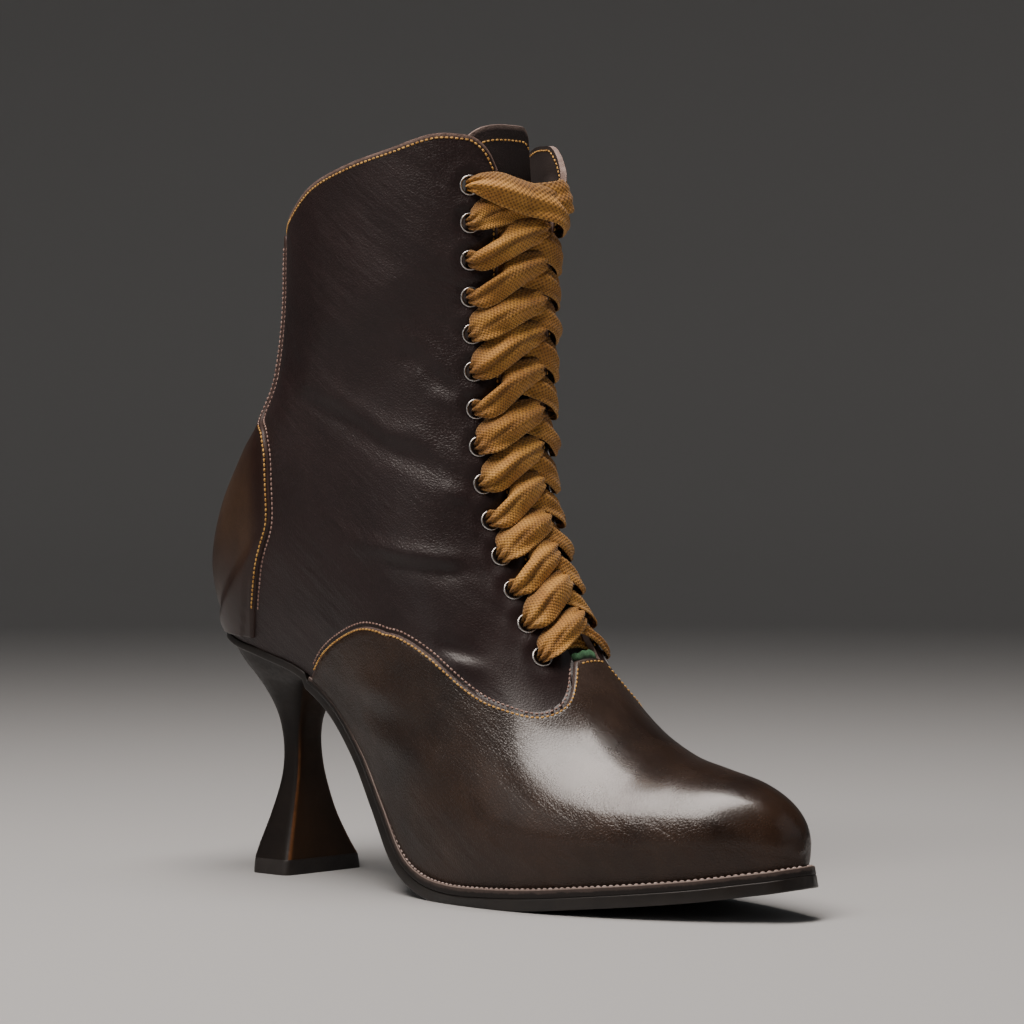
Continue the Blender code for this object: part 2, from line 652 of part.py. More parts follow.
def lace_point(across, station):
    """Point under the lace. across is -1 and 1 at the two rows of eyelets and 0 at the front line."""
    side = LATERAL if across <= 0 else MEDIAL
    share = 1 - abs(across) * (1 - inset_share(station, side, EYELET_INSET))
    return lifted(station, share, side, LACE_LIFT)


def crossing_corner(column, row):
    """Across and rise of a corner of the crossing, whose four arms leave a middle cell."""
    near, far = ARM_CELLS, ARM_CELLS + 1
    middle = {(near, near): (0.0, -LACE_MIDDLE_HALF), (far, near): (LACE_MIDDLE_SIDE, 0.0),
              (far, far): (0.0, LACE_MIDDLE_HALF), (near, far): (-LACE_MIDDLE_SIDE, 0.0)}
    start = middle[(near if column <= near else far, near if row <= near else far)]
    if column < near or row < near:
        reach, rise = LACE_FOOT, -LACE_SLOPE * LACE_FOOT
    else:
        reach, rise = LACE_HEAD, LACE_SLOPE * LACE_HEAD
    if column < near or column > far:
        way = (near - column if column < near else column - far) / ARM_CELLS
        reach = math.copysign(reach, column - near - 0.5)
        edge = -1 if row == near else 1
    else:
        way = (near - row if row < near else row - far) / ARM_CELLS
        reach = math.copysign(reach, near + 0.5 - row)
        edge = -1 if column == near else 1
    end = np.array((reach, rise + edge * LACE_END_HALF))
    return np.array(start) + (end - np.array(start)) * max(0.0, way)


def make_lace():
    """Criss-cross lace: one joined crossing between each two pairs of eyelets."""
    stations = eyelet_stations()
    cells = 2 * ARM_CELLS + 1
    for number in range(1, EYELET_PAIRS):
        high, low = stations[number - 1], stations[number]
        mesh = bmesh.new()

        def place(column, row):
            across, rise = crossing_corner(column, row)
            return lace_point(across, (high + low) / 2 + rise * (high - low))

        made = bmesh.ops.create_grid(mesh, x_segments=cells, y_segments=cells, size=0.5)
        spare = []
        for corner in made["verts"]:
            column = round((corner.co.x + 0.5) * cells)
            row = round((corner.co.y + 0.5) * cells)
            if column in (ARM_CELLS, ARM_CELLS + 1) or row in (ARM_CELLS, ARM_CELLS + 1):
                corner.co = Vector(place(column, row))
            else:
                spare.append(corner)
        bmesh.ops.delete(mesh, geom=spare, context="VERTS")
        name = f"lace_crossing_{number:02d}"
        add_shell(name, mesh, "ribbon", LACE_THICK, 1.0, lifted((high + low) / 2, 1.0, LATERAL, FAR_OUT))


for old in list(bpy.data.objects):
    bpy.data.objects.remove(old, do_unlink=True)
collection = bpy.data.collections.new("lace_up_bootie")
bpy.context.scene.collection.children.link(collection)
materials = make_materials()
make_upper()
make_vamp()
make_counter()
make_tongue()
make_sole()
make_heel()
make_eyelets()
make_lace()
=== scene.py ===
# %% [markdown]
# # A lace-up bootie, dressed on its solids
# The solids of the shoe are packed as a frame. This lesson dresses them with fine leather panels, seams
# and their stitches, a ribbon laced through open eyelets, a waxed sole and a spool heel.
# The frame comes first. The dressed shoe may not outgrow it.

# %% Load the frame
import math

import bmesh
import bpy
import numpy as np
from mathutils import Matrix, Vector


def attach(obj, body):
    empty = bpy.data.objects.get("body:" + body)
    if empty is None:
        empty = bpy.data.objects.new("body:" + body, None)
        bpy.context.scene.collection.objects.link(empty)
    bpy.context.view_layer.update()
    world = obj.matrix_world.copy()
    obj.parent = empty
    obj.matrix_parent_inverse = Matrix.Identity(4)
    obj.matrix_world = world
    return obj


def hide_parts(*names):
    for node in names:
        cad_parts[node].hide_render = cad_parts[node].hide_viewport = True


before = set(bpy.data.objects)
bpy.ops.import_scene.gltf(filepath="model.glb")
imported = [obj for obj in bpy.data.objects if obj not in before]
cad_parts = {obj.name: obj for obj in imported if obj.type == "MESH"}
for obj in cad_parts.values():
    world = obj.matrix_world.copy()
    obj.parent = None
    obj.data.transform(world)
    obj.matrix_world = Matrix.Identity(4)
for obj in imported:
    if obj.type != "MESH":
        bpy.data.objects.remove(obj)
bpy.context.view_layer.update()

# %% [markdown]
# ## Camera
# The shoe was seen from its outer front quarter, from about a metre away, with the lens level and half as
# high as the shaft. A long lens keeps the heel and the toe at one scale. The camera could be aimed by
# angles, but two points are easier to read: where it stands and what it looks at.

# %% Camera
MM = 0.001
CAMERA_PLACE = Vector((0.683, -0.7472, 0.1216))
CAMERA_AIM = Vector((-0.021, 0.0324, 0.1216))
LENS = 110.7


def add_facing(name, data, place, aim):
    """An object of camera or light data that stands at a place and faces a point."""
    made = bpy.data.objects.new(name, data)
    made.location = place
    made.rotation_euler = (Vector(aim) - Vector(place)).to_track_quat("-Z", "Y").to_euler()
    bpy.context.scene.collection.objects.link(made)
    return made


camera_data = bpy.data.cameras.new("camera")
camera_data.lens = LENS
bpy.context.scene.camera = add_facing("camera", camera_data, CAMERA_PLACE, CAMERA_AIM)
print("camera distance", round((CAMERA_AIM - CAMERA_PLACE).length, 3))

# %% [markdown]
# ## The last
# A shoemaker pulls the leather over a last, so every panel, seam and eyelet of this shoe is placed on one.
# The last is a fan of sections that starts at the toe tip, turns over the instep and ends at the collar.
# A place on it has a station, which counts the sections, a share, which runs from 0 at the sole or the
# back to 1 at the front line, and a side.

# %% Sections of the last in millimetres
LATERAL = -1
MEDIAL = 1
SIDES = (LATERAL, MEDIAL)
ORIGIN = np.array((123.57, -0.94, 0.0)) * MM
SECTION_COLUMNS = ("top_x", "top_z", "base_x", "base_z", "mid_y", "lat_base", "med_base", "lat_wide",
                   "med_wide", "wide_at", "low_power", "high_power")
SECTIONS = (
    (242.5, 21.0, 242.5, 16.0, 4.0, 0.0, 0.0, 0.0, 0.0, 0.35, 2.2, 2.0),
    (240.8, 28.0, 239.6, 15.4, 4.0, 8.0, 6.5, 8.8, 7.0, 0.38, 2.2, 2.2),
    (235.5, 34.3, 232.5, 14.3, 4.0, 13.5, 10.5, 14.8, 11.8, 0.38, 2.2, 2.1),
    (225.0, 39.5, 221.0, 12.5, 4.0, 21.0, 16.0, 22.8, 17.5, 0.36, 2.2, 2.0),
    (210.0, 43.0, 205.0, 10.6, 4.0, 28.5, 22.0, 30.5, 23.5, 0.34, 2.2, 1.95),
    (196.0, 46.5, 188.0, 8.9, 4.0, 34.5, 27.0, 37.0, 29.0, 0.33, 2.2, 1.9),
    (182.5, 53.5, 170.0, 7.2, 3.5, 37.8, 30.8, 41.1, 33.0, 0.32, 2.2, 1.85),
    (172.0, 62.5, 153.0, 6.3, 3.0, 38.3, 31.5, 42.3, 34.6, 0.31, 2.2, 1.85),
    (163.8, 73.0, 137.0, 6.1, 2.0, 36.0, 29.5, 40.8, 34.0, 0.31, 2.2, 1.9),
    (157.3, 84.0, 122.5, 8.0, 1.0, 32.0, 25.5, 38.5, 32.5, 0.33, 2.2, 1.95),
    (151.3, 95.5, 110.5, 14.0, 0.5, 28.5, 22.5, 36.8, 31.5, 0.37, 2.2, 2.0),
    (145.5, 107.0, 99.0, 28.5, 0.0, 25.3, 20.5, 35.5, 31.5, 0.42, 2.1, 2.05),
    (140.8, 118.5, 87.0, 45.0, 0.0, 23.2, 19.3, 35.2, 32.0, 0.46, 2.1, 2.1),
    (137.6, 130.0, 73.0, 60.0, 0.0, 22.3, 19.8, 35.2, 32.5, 0.49, 2.1, 2.2),
    (136.2, 142.0, 57.0, 70.0, 0.0, 22.6, 21.0, 35.2, 33.2, 0.50, 2.1, 2.3),
    (135.6, 154.0, 39.0, 75.5, 0.0, 22.8, 22.0, 35.0, 34.0, 0.50, 2.1, 2.3),
    (135.4, 164.0, 24.0, 78.8, 0.0, 20.0, 19.5, 35.0, 34.5, 0.50, 2.1, 2.35),
    (135.4, 172.0, 12.5, 82.0, 0.0, 13.0, 13.0, 35.0, 35.0, 0.50, 2.0, 2.35),
    (135.4, 179.0, 6.8, 84.0, 0.0, 0.0, 0.0, 35.0, 35.5, 0.50, 2.0, 2.35),
    (135.4, 185.0, 1.8, 98.5, 0.0, 0.0, 0.0, 35.0, 35.5, 0.50, 1.95, 2.35),
    (135.5, 191.0, 4.5, 114.0, 0.0, 0.0, 0.0, 35.5, 36.0, 0.50, 1.85, 2.35),
    (135.6, 197.0, 12.0, 128.0, 0.0, 0.0, 0.0, 36.0, 36.5, 0.50, 1.75, 2.35),
    (135.8, 203.0, 22.5, 142.0, 0.0, 0.0, 0.0, 36.5, 37.0, 0.50, 1.75, 2.35),
    (136.0, 209.0, 32.0, 156.0, 0.0, 0.0, 0.0, 37.0, 37.5, 0.50, 1.8, 2.35),
    (136.2, 216.0, 37.0, 170.0, 0.0, 0.0, 0.0, 37.0, 37.5, 0.50, 1.9, 2.35),
    (136.4, 223.0, 39.5, 186.0, 0.0, 0.0, 0.0, 37.0, 37.5, 0.50, 1.95, 2.35),
    (136.6, 231.0, 40.5, 202.0, 0.0, 0.0, 0.0, 37.0, 37.5, 0.50, 2.0, 2.35),
    (136.8, 240.0, 41.0, 218.0, 0.0, 0.0, 0.0, 37.0, 37.5, 0.50, 2.0, 2.35),
    (137.0, 250.0, 41.4, 234.0, 0.0, 0.0, 0.0, 37.0, 37.5, 0.50, 2.0, 2.35),
)
LENGTH_COLUMNS = 9
LOW_SHARE = 0.42
HEEL_STATION = 18.0
ROLL_START = 15.0
STATION_STEP = 0.01
SHARE_STEP = 0.001
WIDTH_COLUMNS = ("lat_base", "med_base", "lat_wide", "med_wide")
TIP_ROUND = 0.5
TIP_START = 1e-6


# %% Smooth curves through a table, for many places at once
class Curve:
    """Smooth curve through the rows of a table, whose first column is the position."""

    def __init__(self, rows):
        data = np.array(rows, dtype=float)
        self.at = data[:, 0]
        self.values = data[:, 1:]
        self.slopes = np.gradient(self.values, self.at, axis=0)

    def __call__(self, position):
        position = np.clip(np.asarray(position, dtype=float), self.at[0], self.at[-1])
        i = np.clip(np.searchsorted(self.at, position, side="right") - 1, 0, len(self.at) - 2)
        span = self.at[i + 1] - self.at[i]
        f = (position - self.at[i]) / span
        rise = f * f * (3 - 2 * f)
        value = self.values[i].T + rise * (self.values[i + 1] - self.values[i]).T
        value = value + f * (1 - f) ** 2 * span * self.slopes[i].T
        return value + f * f * (f - 1) * span * self.slopes[i + 1].T


def numbered(rows):
    """Rows of a table with their number as the position."""
    return [(number, *row) for number, row in enumerate(rows)]


def smooth_step(value, start, end):
    """0 before start, 1 after end, and a soft rise between them."""
    way = np.clip((np.asarray(value, dtype=float) - start) / (end - start), 0.0, 1.0)
    return way * way * (3 - 2 * way)


last_curve = Curve(numbered(SECTIONS))


# %% Places on the last
def section(station):
    """Named values of the last's sections at the stations, lengths in metres, with a round toe tip."""
    values = last_curve(station)
    values[:LENGTH_COLUMNS] *= MM
    row = dict(zip(SECTION_COLUMNS, values))
    near = np.clip(station, TIP_START, 1.0)
    for name in WIDTH_COLUMNS:
        row[name] = row[name] * near ** (-TIP_ROUND * (1 - near) ** 2)
    return row


def as_arrays(*values):
    """Values as arrays of floats of one shape."""
    return np.broadcast_arrays(*(np.asarray(value, dtype=float) for value in values))


def side_of(way):
    """Outer side for ways up to 0, inner side beyond."""
    return np.where(way <= 0, LATERAL, MEDIAL)


def last_point(station, share, side):
    """Points of the last's outside."""
    station, share, side = as_arrays(station, share, side)
    row = section(station)
    wide = np.maximum(0.0, np.where(side < 0, row["lat_wide"], row["med_wide"]))
    base = np.maximum(0.0, np.where(side < 0, row["lat_base"], row["med_base"]))
    low_angle = np.clip(share / LOW_SHARE, 0.0, 1.0) * math.pi / 2
    high_angle = np.clip((share - LOW_SHARE) / (1 - LOW_SHARE), 0.0, 1.0) * math.pi / 2
    rolled = 1 - np.maximum(0.0, np.cos(low_angle)) ** (2 / row["low_power"])
    straight = share / LOW_SHARE
    back = smooth_step(station, ROLL_START, HEEL_STATION)
    low_height = row["wide_at"] * (straight + (rolled - straight) * back)
    low_out = base + (wide - base) * np.sin(low_angle) ** (2 / row["low_power"])
    high_height = row["wide_at"] + (1 - row["wide_at"]) * np.sin(high_angle) ** (2 / row["high_power"])
    high_out = wide * np.maximum(0.0, np.cos(high_angle)) ** (2 / row["high_power"])
    height = np.where(share <= LOW_SHARE, low_height, high_height)
    out = np.where(share <= LOW_SHARE, low_out, high_out)
    x = row["base_x"] + (row["top_x"] - row["base_x"]) * height
    z = row["base_z"] + (row["top_z"] - row["base_z"]) * height
    return np.stack((x, row["mid_y"] + side * out, z), axis=-1) - ORIGIN


def unit(vectors):
    """Vectors brought to length one."""
    return vectors / np.maximum(np.linalg.norm(vectors, axis=-1, keepdims=True), 1e-12)


def by_station(station, share, side):
    """Way on the last for one station."""
    ahead = last_point(station + STATION_STEP, share, side)
    return (ahead - last_point(station - STATION_STEP, share, side)) / (2 * STATION_STEP)


def outward(station, share, side):
    """Unit normals of the last's outside."""
    station, share, side = as_arrays(station, share, side)
    low, high = np.maximum(0.0, share - SHARE_STEP), np.minimum(1.0, share + SHARE_STEP)
    across = last_point(station, high, side) - last_point(station, low, side)
    at_back = (share <= 0.0) & (station >= HEEL_STATION)
    at_front = share >= 1.0
    across[at_back] = (0.0, 1.0, 0.0)
    across[at_front] = (0.0, -1.0, 0.0)
    turn = np.where(at_back | at_front, 1.0, side)
    normal = turn[..., None] * np.cross(by_station(station, share, side), across)
    normal[station <= 0.0] = (1.0, 0.0, 0.0)
    return unit(normal)


print("heel to toe", np.round(last_point([0.0, HEEL_STATION], 0.0, LATERAL), 4).tolist())

# %% [markdown]
# ## Seams and eyelets on the last
# The patterns of a boot are drawn on the taped last, and so are these. The vamp seam rises from the arch
# in a wing, dips under the lacing and ends in a tab. The counter seam climbs from the heel seat and runs
# up the back. Each is a short table of places, with a smooth curve through it.

# %% Pattern lines
COLLAR_FRONT = 25.85
THROAT_STATION = 8.25
FACING_START = 14.0
THROAT_EDGE = 0.93
COLLAR_EDGE = 0.905
VAMP_SEAM = ((0.0, 13.7), (0.13, 13.6), (0.23, 13.35), (0.38, 12.75), (0.5, 11.9), (0.63, 10.35),
             (0.72, 8.75), (0.8, 7.65), (0.855, 7.4), (0.905, 7.45), (0.95, 7.75), (1.0, THROAT_STATION))
COLLAR = ((0.0, 26.6), (0.15, 26.7), (0.26, 26.85), (0.34, 27.1), (0.42, 27.2), (0.56, 27.25),
          (0.72, 27.35), (0.77, 27.25), (0.83, 27.05), (0.88, 26.5), (0.91, 25.85), (1.0, 25.85))
COUNTER_SEAM = ((0.0, 15.35, 0.03), (0.1, 15.8, 0.125), (0.2, 16.4, 0.235), (0.3, 17.2, 0.32),
                (0.42, 18.4, 0.357), (0.54, 19.7, 0.352), (0.64, 20.8, 0.31), (0.75, 22.3, 0.215),
                (0.87, 24.4, 0.165), (1.0, 26.6, 0.155))
COUNTER_BACK_START = 18.03
INNER_CORNER = (0.79, 0.88)
INNER_CORNER_DIP = 0.4
EYELET_PAIRS = 14
EYELET_LOWEST = 8.75
EYELET_TOP = 25.45
EYELET_SHARE = 0.82
EYELET_INSET = 9.6 * MM
INSET_REACH = 0.25
WALK_SAMPLES = 200

vamp_seam = Curve(VAMP_SEAM)
collar_curve = Curve(COLLAR)
counter_curve = Curve(COUNTER_SEAM)


def collar_height(share, side):
    """Station of the collar's edge. The inner front corner is cut rounder."""
    dip = INNER_CORNER_DIP * smooth_step(share, *INNER_CORNER)
    return collar_curve(share)[0] - np.where(np.asarray(side) > 0, dip, 0.0)


def facing_edge(station):
    """Share of the girth at the edge of the lacing gap."""
    way = np.clip((station - FACING_START) / (COLLAR_FRONT - FACING_START), 0.0, 1.0)
    return THROAT_EDGE + (COLLAR_EDGE - THROAT_EDGE) * way


def walked(points):
    """Length walked along a row of points, from the first one on."""
    return np.concatenate(((0.0,), np.cumsum(np.linalg.norm(np.diff(points, axis=0), axis=1))))


def inset_share(station, side, distance):
    """Share of the girth at a distance behind the edge of the facing."""
    edge = float(facing_edge(station))
    shares = np.linspace(edge, edge - INSET_REACH, WALK_SAMPLES)
    return float(np.interp(distance, walked(last_point(station, shares, side)), shares))


stations = np.linspace(EYELET_TOP, EYELET_LOWEST, WALK_SAMPLES)
lengths = walked(last_point(stations, EYELET_SHARE, LATERAL))
EYELET_STATIONS = np.interp(np.linspace(0.0, lengths[-1], EYELET_PAIRS), lengths, stations)
EYELET_SHARES = {side: np.array([inset_share(station, side, EYELET_INSET) for station in EYELET_STATIONS])
                 for side in SIDES}
eyelet_pitch = lengths[-1] / (EYELET_PAIRS - 1)
print("eyelet pitch in mm", round(eyelet_pitch / MM, 2))

# %% [markdown]
# ## Creases
# Worn leather folds where the foot bends. The long folds run from the back of the ankle down to the
# eyelets and across the instep, and the vamp has shallow ones at the ball. They could be painted with
# bump, but a fold shows in the outline and in the highlights, so each is a soft trough or ridge pressed
# into the surface along a line of places. Eyelets pull the leather in, so each one sits in a dimple.

# %% Creases, placed one by one
CREASE_COLUMNS = ("depth", "width", "line")
CREASES = {
    LATERAL: (
        (0.75, 4.2, ((21.8, 0.36), (20.35, 0.46), (18.75, 0.53), (16.55, 0.59), (15.65, 0.65),
                     (14.25, 0.73))),
        (-0.95, 3.8, ((20.95, 0.39), (18.45, 0.52), (16.0, 0.58), (14.7, 0.66), (13.65, 0.76))),
        (1.05, 3.4, ((14.8, 0.42), (13.5, 0.5), (12.65, 0.59), (11.75, 0.72), (11.5, 0.79))),
        (-0.95, 3.0, ((13.6, 0.47), (13.05, 0.51), (12.0, 0.66), (11.35, 0.79))),
        (0.7, 3.0, ((13.85, 0.68), (13.1, 0.78))),
        (-0.55, 2.6, ((11.2, 0.55), (10.75, 0.6), (9.95, 0.68))),
        (0.4, 2.8, ((10.9, 0.53), (10.4, 0.6), (9.7, 0.67))),
        (-0.6, 5.0, ((23.55, 0.26), (22.4, 0.33), (21.3, 0.42))),
        (0.55, 4.5, ((12.5, 0.18), (11.7, 0.3), (11.0, 0.43))),
        (0.6, 5.5, ((11.8, 0.12), (10.45, 0.36), (8.9, 0.49))),
        (-0.5, 5.0, ((12.3, 0.12), (10.9, 0.36), (9.4, 0.5))),
        (-0.45, 6.0, ((25.7, 0.53), (24.0, 0.57), (22.65, 0.61))),
        (0.45, 3.4, ((20.4, 0.63), (19.45, 0.69), (16.45, 0.79))),
        (-0.4, 3.0, ((19.6, 0.63), (18.4, 0.7), (16.0, 0.78))),
        (0.4, 3.0, ((17.0, 0.7), (15.7, 0.78))),
    ),
    MEDIAL: (
        (0.7, 4.2, ((21.2, 0.36), (19.6, 0.46), (17.9, 0.54), (15.9, 0.62), (14.6, 0.72))),
        (-0.9, 3.8, ((20.3, 0.39), (17.7, 0.52), (15.4, 0.6), (13.9, 0.72))),
        (0.6, 3.4, ((14.2, 0.44), (12.9, 0.54), (12.0, 0.66), (11.5, 0.78))),
        (-0.7, 3.0, ((13.2, 0.47), (12.2, 0.58), (11.2, 0.76))),
        (0.45, 3.0, ((16.6, 0.66), (15.2, 0.78))),
        (-0.45, 3.0, ((18.0, 0.68), (16.2, 0.78))),
        (-0.5, 5.0, ((24.6, 0.5), (22.4, 0.6))),
        (0.5, 5.0, ((11.6, 0.14), (10.2, 0.36), (9.0, 0.48))),
    ),
}
# The inner facing stands off the leg at its edge and leans in behind it. FLARE has the millimetres by
# station, and FLARE_PART their part by share
FLARE = ((12.0, 0.0), (14.4, 1.0), (17.5, 2.5), (22.0, 2.3), (24.0, 3.0), (25.85, 6.5), (27.5, 7.0))
FLARE_PART = ((0.3, 0.0), (0.5, -0.4), (0.67, -0.72), (0.77, -0.35), (0.86, 0.6), (0.905, 1.0), (0.93, 1.0),
              (1.0, 0.0))
FLARE_WAY = np.array((0.742, 0.67, 0.0))
CREASE_GAIN = 1.6
CREASE_ENDS = (0.04, 0.96)
CREASE_FADE = 0.7
DIMPLE_DEPTH = 0.55
DIMPLE_WIDTH = 3.6
DIMPLE_RIM = 0.3
DIMPLE_RIM_AT = 6.2
DIMPLE_RIM_WIDTH = 1.9


def distance_to_line(points, line):
    """Distance of points to a line of places, and the share of the line's length where it is nearest."""
    lengths = walked(line)
    best = np.full(len(points), np.inf)
    where = np.zeros(len(points))
    for start, end, before, after in zip(line[:-1], line[1:], lengths[:-1], lengths[1:]):
        step = end - start
        way = np.clip((points - start) @ step / (step @ step), 0.0, 1.0)
        gap = np.linalg.norm(points - start - way[:, None] * step, axis=1)
        nearer = gap < best
        best = np.where(nearer, gap, best)
        where = np.where(nearer, (before + way * (after - before)) / lengths[-1], where)
    return best, where


def relief(points, side):
    """Height in metres of the creases and of the dimples round the eyelets, for points of one side."""
    total = np.zeros(len(points))
    for row in CREASES[side]:
        crease = dict(zip(CREASE_COLUMNS, row))
        places = np.array(crease["line"])
        gap, where = distance_to_line(points, last_point(places[:, 0], places[:, 1], side))
        fade = np.sin(math.pi * np.clip(where, *CREASE_ENDS)) ** CREASE_FADE
        total += CREASE_GAIN * crease["depth"] * fade * np.exp(-(gap / MM / crease["width"]) ** 2)
    for centre in last_point(EYELET_STATIONS, EYELET_SHARES[side], side):
        gap = np.linalg.norm(points - centre, axis=1) / MM
        total -= DIMPLE_DEPTH * np.exp(-(gap / DIMPLE_WIDTH) ** 2)
        total += DIMPLE_RIM * np.exp(-((gap - DIMPLE_RIM_AT) / DIMPLE_RIM_WIDTH) ** 2)
    return total * MM


flare_curve = Curve(FLARE)
flare_part = Curve(FLARE_PART)


def flare(station, share, side):
    """Way that the inner facing stands off the leg."""
    reach = flare_curve(station)[0] * MM * flare_part(share)[0]
    return np.where(side > 0, reach, 0.0)[..., None] * FLARE_WAY


def skin(station, share, side, height):
    """Points of the creased leather at a height over the last, for one side or for an array of sides."""
    station, share, side = as_arrays(station, share, side)
    points = last_point(station, share, side)
    lift = np.broadcast_to(np.asarray(height, dtype=float), station.shape).copy()
    for one in SIDES:
        chosen = side == one
        if chosen.any():
            lift[chosen] += relief(points[chosen], one)
    return points + flare(station, share, side) + lift[:, None] * outward(station, share, side)


print("creases", {side: len(rows) for side, rows in CREASES.items()})

# %% [markdown]
# ## Materials
# All finishes are built from nodes, so nothing is painted by hand. Three effects come back on several
# leathers, a pebble grain, soft wrinkles and the lighter rub along cut edges, so each is a node group with
# named sockets. A material then mixes the groups and sets its own gloss.


# %% Helpers for node trees
MIX_FACTOR, MIX_FIRST, MIX_SECOND, MIX_RESULT = 0, 6, 7, 2


def feed(tree, node, values):
    """Feeds inputs, given by name or number, with links or plain values. A colour has three numbers."""
    for name, value in values.items():
        socket = node.inputs[name]
        if isinstance(value, bpy.types.NodeSocket):
            tree.links.new(value, socket)
        else:
            socket.default_value = (*value, 1.0) if socket.type == "RGBA" else value


def add_node(tree, kind, values=None, **settings):
    """Adds a node, sets its properties and feeds its inputs."""
    node = tree.nodes.new(kind)
    for name, setting in settings.items():
        setattr(node, name, setting)
    feed(tree, node, values or {})
    return node


def math_node(tree, operation, first, second=0.0):
    """Adds a math node."""
    return add_node(tree, "ShaderNodeMath", {0: first, 1: second}, operation=operation).outputs[0]


def mix_colour(tree, factor, first, second):
    """Adds a mix of two colours. Its sockets go by number, because several have the same name."""
    values = {MIX_FACTOR: factor, MIX_FIRST: first, MIX_SECOND: second}
    return add_node(tree, "ShaderNodeMix", values, data_type="RGBA").outputs[MIX_RESULT]


def remap(tree, value, low, high, to_low=0.0, to_high=1.0):
    """Adds a range change that stays inside its ends."""
    values = {"Value": value, "From Min": low, "From Max": high, "To Min": to_low, "To Max": to_high}
    return add_node(tree, "ShaderNodeMapRange", values).outputs["Result"]


def object_place(tree):
    """Object coordinates."""
    return tree.nodes.new("ShaderNodeTexCoord").outputs["Object"]


def attribute(tree, name):
    """A value that is stored on the mesh."""
    return add_node(tree, "ShaderNodeAttribute", attribute_name=name).outputs["Fac"]


def noise(tree, place, scale, detail=3.0, roughness=0.55):
    """Cloudy noise from 0 to 1."""
    values = {"Vector": place, "Scale": scale, "Detail": detail, "Roughness": roughness}
    return add_node(tree, "ShaderNodeTexNoise", values).outputs["Fac"]


def bump(tree, height, distance):
    """Normal of a height in units of distance metres."""
    values = {"Height": height, "Distance": distance, "Strength": 1.0}
    return add_node(tree, "ShaderNodeBump", values).outputs["Normal"]


def start_material(name, colour, roughness, metallic=0.0):
    """A material with a Principled shader and its plain values."""
    material = bpy.data.materials.new(name)
    material.use_nodes = True
    tree = material.node_tree
    shader = tree.nodes["Principled BSDF"]
    feed(tree, shader, {"Base Color": colour, "Roughness": roughness, "Metallic": metallic})
    return material, tree, shader


def start_group(name, inputs, outputs):
    """A shader node group with named sockets. Returns its tree, what it is given and its output node."""
    group = bpy.data.node_groups.new(name, "ShaderNodeTree")
    for way, sockets in (("INPUT", inputs), ("OUTPUT", outputs)):
        for label, kind in sockets.items():
            group.interface.new_socket(label, in_out=way, socket_type="NodeSocket" + kind)
    return group, group.nodes.new("NodeGroupInput").outputs, group.nodes.new("NodeGroupOutput")


def use_group(tree, group, values):
    """Places a group in a tree and feeds it. Returns its outputs."""
    return add_node(tree, "ShaderNodeGroup", values, node_tree=group).outputs


# %% Groups for grain, wrinkles and rubbed edges
GRAIN_WARP = 0.0012
WRINKLE_LEAN = 0.64
WRINKLE_SIZE = (0.04, 0.025, 0.0075)

grain_group, given, result = start_group(
    "leather grain", {"Place": "Vector", "Cells": "Float", "Wrinkle": "Float"},
    {"Height": "Float", "Furrow": "Float"})
warp = add_node(grain_group, "ShaderNodeTexNoise", {"Vector": given["Place"], "Scale": 160.0, "Detail": 2.0})
values = {0: warp.outputs["Color"], 1: (GRAIN_WARP, GRAIN_WARP, GRAIN_WARP), 2: given["Place"]}
shifted = add_node(grain_group, "ShaderNodeVectorMath", values, operation="MULTIPLY_ADD").outputs[0]
cells = add_node(grain_group, "ShaderNodeTexVoronoi", {"Vector": shifted, "Scale": given["Cells"]},
                 feature="DISTANCE_TO_EDGE")
pebble = remap(grain_group, cells.outputs["Distance"], 0.0, 0.28)
long_lines = noise(grain_group, shifted, 240.0, 4.0, 0.65)
wrinkled = math_node(grain_group, "MULTIPLY", long_lines, given["Wrinkle"])
feed(grain_group, result, {"Height": math_node(grain_group, "ADD", pebble, wrinkled),
                           "Furrow": math_node(grain_group, "SUBTRACT", 1.0, pebble)})

wrinkle_group, given, result = start_group("soft wrinkles", {"Place": "Vector"}, {"Height": "Float"})
values = {"Vector": given["Place"], "Rotation": (0.0, WRINKLE_LEAN, 0.0), "Scale": WRINKLE_SIZE}
drawn_out = add_node(wrinkle_group, "ShaderNodeMapping", values, vector_type="TEXTURE")
folds = noise(wrinkle_group, drawn_out.outputs["Vector"], 1.0, 4.0, 0.55)
patches = remap(wrinkle_group, noise(wrinkle_group, given["Place"], 18.0, 2.0), 0.4, 0.62, 0.25, 1.0)
feed(wrinkle_group, result, {"Height": math_node(wrinkle_group, "MULTIPLY", folds, patches)})

rub_group, given, result = start_group(
    "rubbed edge", {"Place": "Vector", "Edge": "Float", "Leather": "Color", "Rubbed": "Color"},
    {"Color": "Color", "Mask": "Float"})
ragged = remap(rub_group, noise(rub_group, given["Place"], 420.0, 4.0, 0.7), 0.3, 0.7, 0.55, 1.25)
rub_mask = remap(rub_group, math_node(rub_group, "MULTIPLY", given["Edge"], ragged), 0.0, 1.0)
feed(rub_group, result, {"Color": mix_colour(rub_group, rub_mask, given["Leather"], given["Rubbed"]),
                         "Mask": rub_mask})
print("groups", [group.name for group in bpy.data.node_groups])


def rub_edge(tree, place, tone, rubbed):
    """Outputs of the rubbed edge over a tone."""
    return use_group(tree, rub_group, {"Place": place, "Edge": attribute(tree, "edge"), "Leather": tone,
                                       "Rubbed": rubbed})


